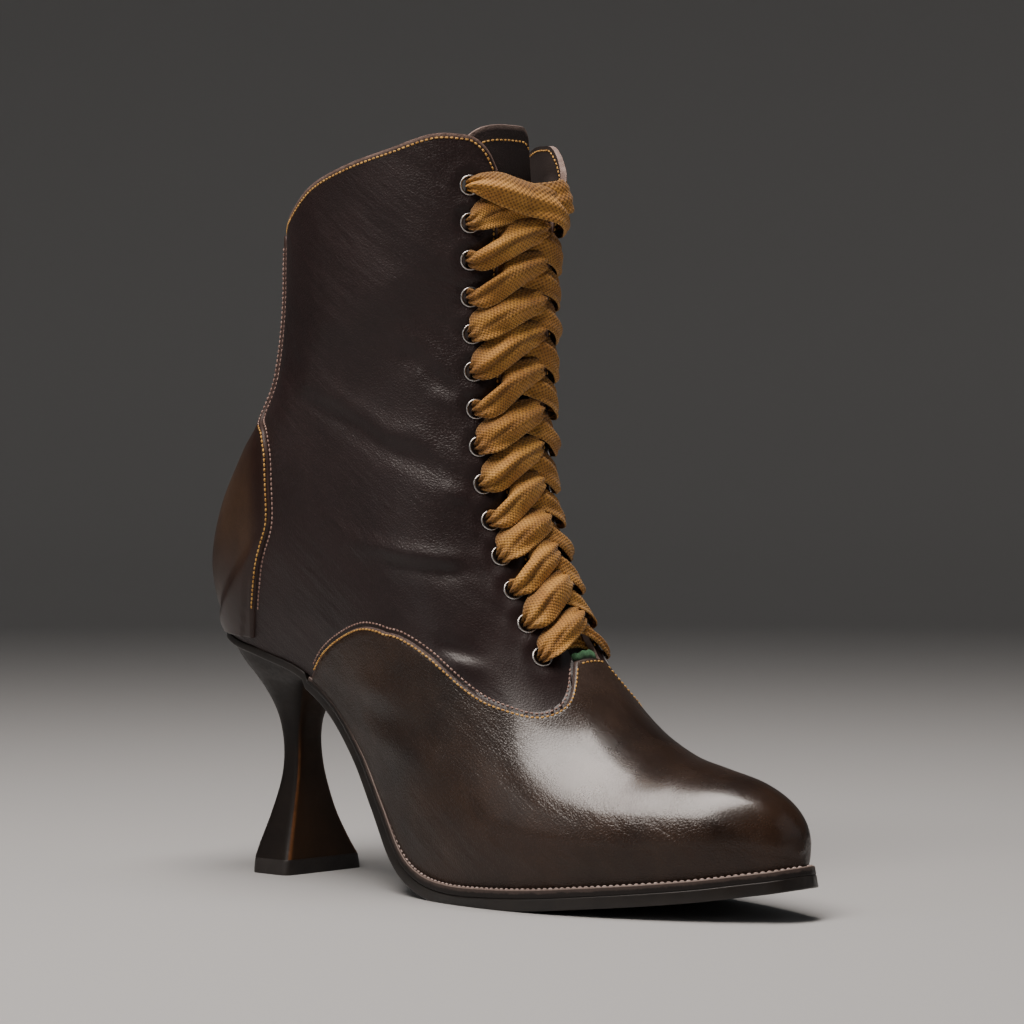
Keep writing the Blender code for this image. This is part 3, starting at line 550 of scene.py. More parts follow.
# %% Leathers
LEATHER_COLUMNS = ("dark", "light", "worn", "rubbed", "rough_polished", "rough_plain", "grain_depth",
                   "wrinkle_depth", "coat", "shine")
LEATHERS = {
    "quarter leather": ((0.0155, 0.0082, 0.0082), (0.027, 0.0148, 0.0144), (0.06, 0.036, 0.03),
                        (0.3, 0.2, 0.165), 0.34, 0.44, 0.000062, 0.0015, 0.1, 0.36),
    "vamp leather": ((0.0125, 0.0058, 0.0034), (0.042, 0.0208, 0.0116), (0.085, 0.055, 0.042),
                     (0.15, 0.105, 0.095), 0.25, 0.42, 0.000085, 0.0014, 0.5, 0.4),
    "counter leather": ((0.018, 0.008, 0.0064), (0.031, 0.014, 0.0104), (0.115, 0.064, 0.034),
                        (0.07, 0.042, 0.036), 0.36, 0.44, 0.00005, 0.0005, 0.08, 0.3),
    "tongue leather": ((0.02, 0.012, 0.0115), (0.034, 0.0215, 0.0205), (0.06, 0.04, 0.036),
                       (0.3, 0.22, 0.19), 0.45, 0.5, 0.00008, 0.0012, 0.0, 0.4),
}
GRAIN_CELLS = 1050.0
GRAIN_LINES = 0.8
FURROW_SHADE = 0.3
FURROW_DARK = 0.45
EDGE_ROUGH = 0.25
POLISHED_RELIEF = 0.26
PLAIN_COAT = 0.1
COAT_ROUGHNESS = 0.16


def make_leather(name):
    """Leather with two tones in soft clouds, pebble grain, worn and rubbed places and a polish."""
    look = dict(zip(LEATHER_COLUMNS, LEATHERS[name]))
    material, tree, shader = start_material(name, look["dark"], look["rough_plain"])
    place = object_place(tree)
    clouds = remap(tree, noise(tree, place, 26.0, 4.0, 0.6), 0.35, 0.68)
    tone = mix_colour(tree, clouds, look["dark"], look["light"])
    patchy = remap(tree, noise(tree, place, 55.0, 5.0, 0.65), 0.3, 0.7, 0.35, 1.0)
    worn = math_node(tree, "MULTIPLY", attribute(tree, "worn"), patchy)
    tone = mix_colour(tree, worn, tone, look["worn"])
    grain = use_group(tree, grain_group, {"Place": place, "Cells": GRAIN_CELLS, "Wrinkle": GRAIN_LINES})
    furrow = math_node(tree, "MULTIPLY", grain["Furrow"], FURROW_SHADE)
    tone = mix_colour(tree, furrow, tone, tuple(FURROW_DARK * value for value in look["dark"]))
    edge = rub_edge(tree, place, tone, look["rubbed"])
    polish = attribute(tree, "polish")
    matte = remap(tree, noise(tree, place, 70.0, 5.0, 0.6), 0.3, 0.7, -0.05, 0.06)
    level = remap(tree, polish, 0.0, 1.0, look["rough_plain"], look["rough_polished"])
    dull_edge = math_node(tree, "MULTIPLY", edge["Mask"], EDGE_ROUGH)
    rough = math_node(tree, "ADD", math_node(tree, "ADD", level, matte), dull_edge)
    calm = remap(tree, polish, 0.0, 1.0, 1.0, POLISHED_RELIEF)
    wrinkles = use_group(tree, wrinkle_group, {"Place": place})["Height"]
    wrinkles = math_node(tree, "MULTIPLY", wrinkles, look["wrinkle_depth"] / look["grain_depth"])
    height = math_node(tree, "MULTIPLY", math_node(tree, "ADD", grain["Height"], wrinkles), calm)
    coat = remap(tree, polish, 0.0, 1.0, PLAIN_COAT * look["coat"], look["coat"])
    feed(tree, shader, {"Base Color": edge["Color"], "Roughness": rough, "Coat Weight": coat,
                        "Coat Roughness": COAT_ROUGHNESS, "Specular IOR Level": look["shine"],
                        "Normal": bump(tree, height, look["grain_depth"])})
    return material


quarter_leather, vamp_leather, counter_leather, tongue_leather = (make_leather(name) for name in LEATHERS)

# %% Plain finishes
# Dark and light tone, roughness, scale of the clouds, scale and depth of the bump
PLAIN_FINISHES = {
    "raw leather edge": ((0.2, 0.135, 0.115), (0.36, 0.265, 0.235), 0.85, 260.0, 1500.0, 0.0003),
    "brown lining": ((0.022, 0.0145, 0.013), (0.036, 0.025, 0.022), 0.7, 60.0, 1400.0, 0.0001),
    "sock leather": ((0.2, 0.13, 0.075), (0.28, 0.19, 0.115), 0.6, 40.0, 900.0, 0.0001),
    "waxed sole edge": ((0.008, 0.0062, 0.0055), (0.016, 0.012, 0.0095), 0.38, 90.0, 700.0, 0.00006),
    "top lift": ((0.012, 0.009, 0.008), (0.022, 0.017, 0.015), 0.55, 150.0, 1200.0, 0.0001),
    "golden thread": ((0.42, 0.2, 0.04), (0.72, 0.42, 0.11), 0.6, 500.0, 3000.0, 0.0001),
    "rose thread": ((0.22, 0.125, 0.1), (0.42, 0.28, 0.235), 0.6, 500.0, 3000.0, 0.0001),
    "welt thread": ((0.4, 0.3, 0.26), (0.66, 0.53, 0.48), 0.6, 500.0, 3000.0, 0.0001),
}
ROUGH_SPREAD = 0.08


def make_plain(name, dark, light, roughness, cloud_scale, bump_scale, bump_depth):
    """A finish with two tones in clouds and a fine bump."""
    material, tree, shader = start_material(name, dark, roughness)
    place = object_place(tree)
    clouds = remap(tree, noise(tree, place, cloud_scale, 4.0, 0.6), 0.35, 0.65)
    fine = noise(tree, place, bump_scale, 4.0, 0.65)
    rough = remap(tree, fine, 0.3, 0.7, roughness - ROUGH_SPREAD, roughness + ROUGH_SPREAD)
    feed(tree, shader, {"Base Color": mix_colour(tree, clouds, dark, light), "Roughness": rough,
                        "Normal": bump(tree, fine, bump_depth)})
    return material


raw_edge, lining, sock_leather, sole_edge_wax, lift_rubber, thread, rose_thread, welt_thread = (
    make_plain(name, *row) for name, row in PLAIN_FINISHES.items())
print("materials", len(bpy.data.materials))

# %% [markdown]
# ## Leather panels
# The upper is a hollow shell. Under the vamp it is one piece from side to side, and behind it two quarters
# rise to the collar and meet their lining. A shell could be sculpted, but a grid laid on the last keeps
# every row on the pattern: bmesh makes a flat grid, its corners move to their places, and Solidify gives
# the wall. The inner face takes the lining and the rim the raw cut edge.


# %% Grids that become panels
# Besides rubbed edges, polish and wear, these layers carry painted light: shade and border highlights on the
# ribbon, a lighter top and corner highlight on the welt, light on the heel's breast and shade in the eyelets
STORED = ("edge", "polish", "worn")
WELD = 0.005 * MM
BEVEL_SEGMENTS = 2
BEVEL_ANGLE = math.radians(50)


def start_sheet():
    """An empty bmesh with a UV map and the stored values that the materials read."""
    mesh = bmesh.new()
    mesh.loops.layers.uv.new("UVMap")
    for name in STORED:
        mesh.verts.layers.float.new(name)
    return mesh


def add_sheet(mesh, columns, rows, place):
    """Adds a grid. place(u, v), with u and v from 0 to 1, gives its points and then their stored values."""
    made = bmesh.ops.create_grid(mesh, x_segments=columns, y_segments=rows, size=0.5, calc_uvs=True)["verts"]
    flat = np.array([corner.co[:2] for corner in made]) + 0.5
    points, *values = place(flat[:, 0], flat[:, 1])
    for corner, point in zip(made, points):
        corner.co = point
    for name, value in zip(STORED, values):
        layer = mesh.verts.layers.float[name]
        for corner, amount in zip(made, np.broadcast_to(np.asarray(value, dtype=float), len(made))):
            corner[layer] = amount


def face_out(mesh, beyond):
    """Welds a sheet and turns its faces to a point beyond its outer side."""
    bmesh.ops.remove_doubles(mesh, verts=mesh.verts, dist=WELD)
    bmesh.ops.recalc_face_normals(mesh, faces=mesh.faces)
    beyond = Vector(beyond)
    nearest = min(mesh.faces, key=lambda face: (face.calc_center_median() - beyond).length)
    if nearest.normal.dot(beyond - nearest.calc_center_median()) < 0:
        bmesh.ops.reverse_faces(mesh, faces=mesh.faces)


def close_tube(mesh, weld):
    """Welds a tube, closes its ends and turns its faces outward."""
    bmesh.ops.remove_doubles(mesh, verts=mesh.verts, dist=weld)
    bmesh.ops.holes_fill(mesh, edges=[edge for edge in mesh.edges if edge.is_boundary])
    bmesh.ops.recalc_face_normals(mesh, faces=mesh.faces)


def add_object(name, mesh, *materials):
    """Makes a smooth object of a bmesh."""
    data = bpy.data.meshes.new(name)
    mesh.to_mesh(data)
    mesh.free()
    data.shade_smooth()
    for material in materials:
        data.materials.append(material)
    made = bpy.data.objects.new(name, data)
    bpy.context.scene.collection.objects.link(made)
    return made


def add_piece(name, mesh, slot, nodes, *materials):
    """Makes an object of a bmesh that rides on the shoe and stands for its solids."""
    piece = add_object(name, mesh, *materials)
    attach(piece, "root")
    if nodes:
        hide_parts(*nodes)
    print(name, "faces", len(piece.data.polygons))
    return piece


def add_wall(piece, thickness, offset=-1.0, rim_bevel=0.0):
    """Gives a sheet its wall, with the second of its materials inside and the third on the rim."""
    wall = piece.modifiers.new("wall", "SOLIDIFY")
    wall.thickness = thickness
    wall.offset = offset
    if len(piece.data.materials) > 1:
        wall.material_offset = 1
        wall.material_offset_rim = 2
    if rim_bevel:
        soft = piece.modifiers.new("soft edge", "BEVEL")
        soft.width = rim_bevel
        soft.segments = BEVEL_SEGMENTS
        soft.limit_method = "ANGLE"
        soft.angle_limit = BEVEL_ANGLE
        soft.harden_normals = True


def off_last(station, share, *way):
    """A point outside the last, some way off one of its places."""
    return last_point(station, share, LATERAL) + np.array(way)


def station_length(station, share, side):
    """Metres on the last for one station."""
    return np.linalg.norm(by_station(station, share, side), axis=-1)


# %% Upper
WALL = 2.0 * MM
WALL_BEVEL = 0.35 * MM
GIRTH_COLUMNS = 92
GAP_COLUMNS = 8
FRONT_COLUMNS = 2 * (GIRTH_COLUMNS + GAP_COLUMNS)
QUARTER_ROWS = 144
UNDER_ROWS = 40
TOE_CROWDING = 1.12
HOLE_RADIUS = 2.55 * MM
RUB_START = 0.1 * MM
RUB_WIDTH = 0.85 * MM
# Rough girth of a quarter in metres, and the share of its rows at the seam that have no rubbed facing edge
QUARTER_GIRTH = 0.13
FACING_FOOT = 0.05
QUARTER_POLISH = (15.0, 9.0)
ABOVE_TOE = off_last(4.0, 1.0, 0.0, 0.0, 0.2)


def across_place(u):
    """Sides, ways to the facing and shares of columns from the outer feather to the inner one."""
    half = GIRTH_COLUMNS + GAP_COLUMNS
    column = np.round(u * 2 * half)
    side = side_of(column - half)
    step = np.where(column <= half, column, 2 * half - column)
    way = np.minimum(step / GIRTH_COLUMNS, 1.0)
    past_facing = np.maximum(step - GIRTH_COLUMNS, 0.0) / GAP_COLUMNS
    return side, way, way * THROAT_EDGE + (1 - THROAT_EDGE) * past_facing


def under_vamp(u, v):
    """The upper's front part, under the vamp."""
    side, way, share = across_place(u)
    station = vamp_seam(way)[0] * v ** TOE_CROWDING
    return skin(station, share, side, 0.0), 0.0, 0.0


def quarter(side):
    """Function of a quarter's grid, from the vamp seam to the collar."""
    def place(u, v):
        start = vamp_seam(u)[0]
        end = collar_height(u * COLLAR_EDGE, side)
        station = start + (end - start) * v
        share = u * facing_edge(station)
        collar_gap = (1 - v) * (end - start) * station_length(station, share, side)
        facing_gap = np.where(v > FACING_FOOT, (1 - u) * QUARTER_GIRTH, 1.0)
        edge = 1 - smooth_step(np.minimum(collar_gap, facing_gap), RUB_START, RUB_WIDTH)
        return skin(station, share, side, 0.0), edge, smooth_step(station, *QUARTER_POLISH)
    return place


def cut_holes(mesh):
    """Opens a round hole for each eyelet and snaps its edge to the circle."""
    for side in SIDES:
        for centre in skin(EYELET_STATIONS, EYELET_SHARES[side], side, 0.0):
            middle = Vector(centre)
            inside = [f for f in mesh.faces if (f.calc_center_median() - middle).length < HOLE_RADIUS]
            rim = {v for f in inside for v in f.verts}
            bmesh.ops.delete(mesh, geom=inside, context="FACES")
            for corner in rim:
                if corner.is_valid:
                    corner.co = middle + (corner.co - middle).normalized() * HOLE_RADIUS


upper_mesh = start_sheet()
add_sheet(upper_mesh, FRONT_COLUMNS, UNDER_ROWS, under_vamp)
for side in SIDES:
    add_sheet(upper_mesh, GIRTH_COLUMNS, QUARTER_ROWS, quarter(side))
face_out(upper_mesh, ABOVE_TOE)
cut_holes(upper_mesh)
upper = add_piece("upper_leather", upper_mesh, "quarter_leather", ["upper"],
                  quarter_leather, lining, raw_edge)
add_wall(upper, WALL, rim_bevel=WALL_BEVEL)

# %% [markdown]
# ## Vamp
# The vamp is the polished front panel. Its edge is skived thin, folded and sewn over the quarters, so it
# rises from them in a soft round lip. A flat overlay with a square edge would look like card. Here the
# height of the panel's face follows the distance to its edge, and it dips into the quarter at the seam.

# %% Vamp
OVERLAY_HEIGHT = 1.25 * MM
OVERLAY_WALL = 1.0 * MM
OVERLAY_RUB = (0.15 * MM, 0.9 * MM)
LIP_WIDTH = 1.1 * MM
LIP_DIP = 0.25 * MM
VAMP_ROWS = 130
# Where the vamp is polished and where it is worn, by station and by share
VAMP_POLISH = ((9.0, 6.5), (0.35, 0.68))
VAMP_WEAR = ((5.5, 7.6), (0.72, 0.93))
VAMP_WEAR_PART = 0.6


def lip(gap):
    """Height of an overlay's face at a distance from its folded edge."""
    way = np.clip(gap / LIP_WIDTH, 0.0, 1.0)
    return OVERLAY_HEIGHT * np.sqrt(1 - (1 - way) ** 2) - LIP_DIP * (1 - way) ** 2


def vamp(u, v):
    """The vamp's grid, from the toe tip to the seam and the tab."""
    side, way, share = across_place(u)
    seam = vamp_seam(way)[0]
    station = seam * v ** TOE_CROWDING
    gap = (seam - station) * station_length(station, share, side)
    edge = 1 - smooth_step(gap, *OVERLAY_RUB)
    polish = smooth_step(station, *VAMP_POLISH[0]) * smooth_step(share, *VAMP_POLISH[1])
    worn = VAMP_WEAR_PART * smooth_step(station, *VAMP_WEAR[0]) * smooth_step(share, *VAMP_WEAR[1])
    return skin(station, share, side, lip(gap)), edge, polish, worn


def add_panel(name, columns, rows, place, outer, slot, nodes, *materials):
    """A piece of one grid, whose outer side faces a point beyond it."""
    mesh = start_sheet()
    add_sheet(mesh, columns, rows, place)
    face_out(mesh, outer)
    return add_piece(name, mesh, slot, nodes, *materials)


vamp_panel = add_panel("vamp_panel", FRONT_COLUMNS, VAMP_ROWS, vamp, ABOVE_TOE, "vamp_leather", ["vamp"],
                       vamp_leather)
add_wall(vamp_panel, OVERLAY_WALL)

# %% Counter
COUNTER_COLUMNS = 96
COUNTER_ROWS = 130
WAY_STEP = 0.01
# Raised middle of the counter: its distance from the seam, where it ends along the seam, and its step
BACKSTAY_GAP = (5.6 * MM, 6.4 * MM)
BACKSTAY_TOP = (0.58, 0.66)
BACKSTAY_STEP = 0.5 * MM
# Worn patch of the counter: where it starts and ends along the seam, its distance from the seam, its part at
# the middle of the back, and how far round it comes to its full part
COUNTER_WEAR = 0.62
COUNTER_WEAR_START = (0.12, 0.42)
COUNTER_WEAR_END = (0.44, 0.68)
COUNTER_WEAR_GAP = (5.0 * MM, 12.0 * MM)
COUNTER_WEAR_BACK = 0.35
COUNTER_WEAR_ROUND = (0.05, 0.4)
COUNTER_POLISH = (24.0, 19.0)


def counter(u, v):
    """The counter's grid, from the outer seam round the back to the inner seam."""
    side = side_of(2 * u - 1)
    way = np.abs(2 * u - 1)
    seam_station, seam_share = counter_curve(v)
    back = COUNTER_BACK_START + (COLLAR[0][1] - COUNTER_BACK_START) * v
    station = back + (seam_station - back) * way
    share = seam_share * way
    near = way - WAY_STEP
    inner = last_point(back + (seam_station - back) * near, seam_share * np.abs(near), side)
    gap = (1 - way) * np.linalg.norm(last_point(station, share, side) - inner, axis=1) / WAY_STEP
    backstay = smooth_step(gap, *BACKSTAY_GAP) * (1 - smooth_step(v, *BACKSTAY_TOP))
    height = lip(gap) + BACKSTAY_STEP * backstay
    worn = COUNTER_WEAR * smooth_step(v, *COUNTER_WEAR_START) * (1 - smooth_step(v, *COUNTER_WEAR_END))
    sideways = COUNTER_WEAR_BACK + (1 - COUNTER_WEAR_BACK) * smooth_step(way, *COUNTER_WEAR_ROUND)
    worn = worn * smooth_step(gap, *COUNTER_WEAR_GAP) * sideways
    edge = 1 - smooth_step(gap, *OVERLAY_RUB)
    return skin(station, share, side, height), edge, smooth_step(station, *COUNTER_POLISH), worn


counter_panel = add_panel("counter_panel", COUNTER_COLUMNS, COUNTER_ROWS, counter,
                          off_last(21.0, 0.0, -0.2, 0.0, 0.0), "counter_leather", ["counter"],
                          counter_leather)
add_wall(counter_panel, OVERLAY_WALL)

# %% [markdown]
# ## Tongue
# The tongue is one soft strip behind the lacing, a little taller than the collar. It lies just under the
# facings, so it is the last's own surface moved inwards, with a wall and a raw edge.

# %% Tongue
TONGUE = ((6.6, 0.09, 0.09), (8.0, 0.125, 0.125), (14.0, 0.165, 0.15), (20.0, 0.18, 0.13),
          (24.0, 0.19, 0.075), (27.5, 0.195, 0.035))
TONGUE_CORNER = 0.35
TONGUE_CORNER_POWER = 4
TONGUE_DEPTH = 3.1 * MM
TONGUE_THICK = 1.6 * MM
TONGUE_BEVEL = 0.3 * MM
TONGUE_COLUMNS = 48
TONGUE_ROWS = 120
# Rough length and width of the tongue in metres, and the part of its edge that is rubbed
TONGUE_LENGTH = 0.24
TONGUE_WIDTH = 0.04
TONGUE_RUB = 0.8
tongue_curve = Curve(TONGUE)


def tongue_spot(u, v):
    """Stations, shares and sides of places on the tongue."""
    way = 2 * u - 1
    start, end = TONGUE[0][0], TONGUE[-1][0]
    station = start + (end - TONGUE_CORNER * np.abs(way) ** TONGUE_CORNER_POWER - start) * v
    outer, inner = tongue_curve(station)
    return station, 1 - np.where(way <= 0, outer, inner) * np.abs(way), side_of(way)


def tongue(u, v):
    """The tongue's grid, from under the vamp to above the collar."""
    spot = tongue_spot(u, v)
    gap = np.minimum((1 - v) * TONGUE_LENGTH, TONGUE_WIDTH * np.minimum(u, 1 - u))
    edge = TONGUE_RUB * (1 - smooth_step(gap, RUB_START, RUB_WIDTH))
    return last_point(*spot) - TONGUE_DEPTH * outward(*spot), edge, 0.0


tongue_panel = add_panel("tongue_panel", TONGUE_COLUMNS, TONGUE_ROWS, tongue,
                         off_last(20.0, 1.0, 0.2, 0.0, 0.0), "tongue_leather", ["tongue"],
                         tongue_leather, lining, raw_edge)
add_wall(tongue_panel, TONGUE_THICK, rim_bevel=TONGUE_BEVEL)

# %% [markdown]
# ## Throat lining
# Above the tab of the vamp, a strip of green lining shows at the foot of the tongue. Its cut top edge is
# frayed and paler. It is a small sheet of its own, tucked under both facings.

# %% Throat lining
def make_green_lining():
    """Dark green lining that is frayed bright along its cut edge."""
    material, tree, shader = start_material("green lining", (0.008, 0.018, 0.011), 0.85)
    place = object_place(tree)
    dark = mix_colour(tree, noise(tree, place, 300.0), (0.004, 0.008, 0.005), (0.01, 0.022, 0.013))
    feed(tree, shader, {"Base Color": rub_edge(tree, place, dark, (0.12, 0.3, 0.15))["Color"],
                        "Normal": bump(tree, noise(tree, place, 1800.0, 4.0, 0.65), 0.0004)})
    return material


green_lining = make_green_lining()
THROAT_STRIP = (7.7, 8.47)
THROAT_STRIP_COLUMNS = 40
THROAT_STRIP_ROWS = 14
THROAT_STRIP_REACH = 0.11
THROAT_STRIP_HEIGHT = -0.9 * MM
THROAT_STRIP_TUCK = -2.25 * MM
THROAT_STRIP_CURL = 1.1 * MM
THROAT_STRIP_THICK = 0.9 * MM
THROAT_STRIP_BEVEL = 0.25 * MM
# Where the strip goes under the facing, by its distance in share, and where along it curls and is frayed
TUCK_REACH = (0.05, 0.075)
CURL_ROWS = (0.6, 1.0)
FRAY_ROWS = (0.76, 0.9)
FRAY = 0.035
STRIP_SAG = 0.1


def throat_strip(u, v):
    """The strip's grid, from one facing to the other."""
    way = 2 * u - 1
    start, end = THROAT_STRIP
    fray = FRAY * np.sin(23 * u) * np.sin(11 * u + 1.0)
    station = start + (end - start + fray - STRIP_SAG * way ** 2) * v
    share = 1 - THROAT_STRIP_REACH * np.abs(way)
    side = side_of(way)
    tuck = smooth_step(1 - share, *TUCK_REACH)
    height = THROAT_STRIP_HEIGHT + (THROAT_STRIP_TUCK - THROAT_STRIP_HEIGHT) * tuck
    height = height + THROAT_STRIP_CURL * (1 - tuck) * smooth_step(v, *CURL_ROWS)
    points = last_point(station, share, side) + height[:, None] * outward(station, share, side)
    return points, smooth_step(v, *FRAY_ROWS), 0.0


throat_lining = add_panel("throat_lining", THROAT_STRIP_COLUMNS, THROAT_STRIP_ROWS, throat_strip,
                          off_last(8.0, 1.0, 0.1, 0.0, 0.1), "tongue_leather", [], green_lining)
add_wall(throat_lining, THROAT_STRIP_THICK, rim_bevel=THROAT_STRIP_BEVEL)

# %% [markdown]
# ## Sole layers
# The insole, the welt and the outsole are cut to the feather line, the edge of the last's underside. The
# welt and the outsole stand out from it by a few millimetres. Each layer is a closed tube of the sole's
# profile from the toe to the heel, and its corners are rounded as an edge trimmer leaves them.

# %% Feather line
SOLE_COLUMNS = ("welt_out", "sole_out", "welt", "sole")
SOLE = ((0.0, 3.0, 3.0, 2.0, 3.8), (6.0, 3.0, 3.0, 2.0, 3.8), (9.0, 2.8, 2.6, 2.0, 3.8),
        (11.0, 1.8, 1.4, 1.6, 3.3), (13.0, 1.0, 0.8, 1.3, 2.8), (14.0, 0.8, 0.6, 1.2, 2.6),
        (18.0, 0.4, 0.4, 1.2, 2.4))
STEP_START = 13.7
STEP_END = 13.85
GAP = 0.3 * MM
FEATHER_GAP = 0.6 * MM
WELT_TOP = FEATHER_GAP - 0.5 * MM
SEAT_GAP = 0.1 * MM
INSOLE_THICK = 1.8 * MM
INSOLE_INSET = 2.3 * MM
FEATHER_SAMPLES = 721
LENGTH_STEP = 0.5 * MM
OUTLINE_STEP = 0.02
sole_curve = Curve(SOLE)

feather_stations = np.linspace(0.0, HEEL_STATION, FEATHER_SAMPLES)
feather_rows = section(feather_stations)
feather_x = feather_rows["base_x"] - ORIGIN[0]
feather_z = feather_rows["base_z"]
feather_lengths = walked(np.stack((feather_x, feather_z), axis=1))
print("feather length in mm", round(feather_lengths[-1] / MM, 1))


def sole_value(column, station):
    """One column of the sole table, in metres."""
    return sole_curve(station)[SOLE_COLUMNS.index(column)] * MM


def feather_at(length):
    """Side view places at lengths along the feather line."""
    return np.interp(length, feather_lengths, feather_x), np.interp(length, feather_lengths, feather_z)


def feather_point(length, depth):
    """Side view places at lengths along the feather line and depths under it."""
    end = feather_lengths[-1]
    inside = np.clip(length, 0.0, end)
    low = np.clip(inside - LENGTH_STEP, 0.0, end - 2 * LENGTH_STEP)
    (low_x, low_z), (high_x, high_z) = feather_at(low), feather_at(low + 2 * LENGTH_STEP)
    run, rise = high_x - low_x, high_z - low_z
    slope = np.hypot(run, rise)
    run, rise = run / slope, rise / slope
    x, z = feather_at(inside)
    return x + run * (length - inside) - rise * depth, z + rise * (length - inside) + run * depth


def feather_flat(station, side):
    """Lengths along the feather line and y of its edge."""
    row = section(station)
    half = np.maximum(0.0, np.where(side < 0, row["lat_base"], row["med_base"]))
    length = np.interp(station, feather_stations, feather_lengths)
    return np.stack((length, row["mid_y"] + side * half), axis=-1)


def sole_edge(station, side, out, depth):
    """Points on the edge of a sole layer. The tread is flat where it would sink under the floor."""
    after = feather_flat(np.minimum(station + OUTLINE_STEP, HEEL_STATION), side)
    turn = after - feather_flat(np.maximum(station - OUTLINE_STEP, 0.0), side)
    away = unit(np.stack((-side * turn[..., 1], side * turn[..., 0]), axis=-1))
    away[station <= 0.0] = (-1.0, 0.0)
    away[station >= HEEL_STATION] = (1.0, 0.0)
    spot = feather_flat(station, side) + np.asarray(out)[..., None] * away
    x, z = feather_point(spot[..., 0], depth)
    return np.stack((x, spot[..., 1] - ORIGIN[1], np.maximum(0.0, z)), axis=-1)


# %% Layers of the sole
CORNER = 0.45 * MM
# Inset and drop of a rounded corner, as shares of its size
ROUND = ((1.0, 0.0), (0.35, 0.08), (0.08, 0.35), (0.0, 1.0))
TOP_CELLS = 10
LAYER_WELD = 0.01 * MM


def layer_profile():
    """Corners round a layer, in columns: place across from -1 to 1, inset, whether at the top, and drop."""
    back = ROUND[::-1]
    cells = [2 * cell / TOP_CELLS - 1 for cell in range(1, TOP_CELLS)]
    rows = [(-1.0, inset, False, drop) for inset, drop in ROUND]
    rows += [(-1.0, inset, True, drop) for inset, drop in back]
    rows += [(across, 1.0, True, 0.0) for across in cells]
    rows += [(1.0, inset, True, drop) for inset, drop in ROUND]
    rows += [(1.0, inset, False, drop) for inset, drop in back]
    rows += [(-across, 1.0, False, 0.0) for across in cells]
    return [np.array(column) for column in zip(*rows)]


PROFILE = layer_profile()


def add_layer(name, stations, out, top, bottom, slot, nodes, *materials):
    """Closed sole layer between two depths under the feather line."""
    mesh = start_sheet()
    count = len(PROFILE[0])

    def place(u, v):
        station = stations[np.round(v * (len(stations) - 1)).astype(int)]
        column = np.round(u * count).astype(int) % count
        across, inset, at_top, drop = (values[column] for values in PROFILE)
        depth = np.where(at_top, top(station) + drop * CORNER, bottom(station) - drop * CORNER)
        reach = out(station) - inset * CORNER
        lateral, medial = (sole_edge(station, np.full(len(u), side), reach, depth) for side in SIDES)
        corner = at_top & (np.abs(across) == 1.0) & (inset < 0.5) & (drop < 0.5)
        # On the welt, the top takes painted light and the outer top corner a painted highlight
        return lateral + (medial - lateral) * ((across + 1) / 2)[:, None], at_top, corner

    add_sheet(mesh, count, len(stations) - 1, place)
    close_tube(mesh, LAYER_WELD)
    return add_piece(name, mesh, slot, nodes, *materials)


def crowded(start, end, count):
    """Stations that lie closer together at both ends."""
    way = (1 - np.cos(np.linspace(0.0, math.pi, count))) / 2
    return start + (end - start) * way


def everywhere(value):
    """Function that gives one value at all stations."""
    return lambda station: np.full(len(station), value)


def welt_bottom(station):
    """Depth of the welt's lower face, which is the outsole's upper one in front of the heel."""
    return FEATHER_GAP + sole_value("welt", station) + GAP


def sole_top(station):
    """Depth of the outsole's upper face: under the welt in front of the heel, under the upper behind it."""
    welt = welt_bottom(station)
    way = np.clip((station - STEP_START) / (STEP_END - STEP_START), 0.0, 1.0)
    return welt + (SEAT_GAP - welt) * way


def sole_bottom(station):
    """Depth of the outsole's tread."""
    return sole_top(station) + sole_value("sole", station)


def make_welt_leather():
    """Welt leather with a dark waxed foot, painted lighter towards its top where light falls, and a painted
    highlight along its outer top corner.
    """
    material, tree, shader = start_material("welt leather", (0.12, 0.085, 0.065), 0.5)
    place = object_place(tree)
    broken = remap(tree, noise(tree, place, 300.0, 4.0, 0.7), 0.3, 0.7, -0.2, 0.2)
    # Painted light: the welt's side is lighter towards its top
    mask = remap(tree, math_node(tree, "ADD", attribute(tree, "edge"), broken), 0.45, 0.75)
    tone = mix_colour(tree, mask, (0.012, 0.009, 0.008), (0.06, 0.043, 0.037))
    # Painted highlight along the outer top corner, from the polish layer
    tone = mix_colour(tree, attribute(tree, "polish"), tone, (0.26, 0.2, 0.175))
    feed(tree, shader, {"Base Color": tone, "Normal": bump(tree, noise(tree, place, 900.0), 0.0001),
                        "Specular IOR Level": 0.3})
    return material


WELT_END = VAMP_SEAM[0][1]
welt_leather = make_welt_leather()
add_layer("insole_sock", crowded(0.35, 17.7, 110), everywhere(-INSOLE_INSET), everywhere(-INSOLE_THICK),
          everywhere(0.0), "insole_board", ["insole"], sock_leather)
add_layer("welt_strip", crowded(0.0, WELT_END, 120), lambda station: sole_value("welt_out", station),
          everywhere(WELT_TOP), welt_bottom, "welt_leather", ["welt"], welt_leather)
outsole_stations = np.unique(np.concatenate((crowded(0.0, HEEL_STATION, 170), (STEP_START, STEP_END))))
add_layer("outsole_layer", outsole_stations, lambda station: sole_value("sole_out", station), sole_top,
          sole_bottom, "sole_leather", ["outsole"], sole_edge_wax)

# %% [markdown]
# ## Heel
# The spool heel is turned slim at its neck and spread to a square foot. Rings of a rounded square, one
# under the other, give both: the power of each ring says how square it is. The top ring follows the slope
# of the heel seat. The top lift is a short slab of the same outline under it.

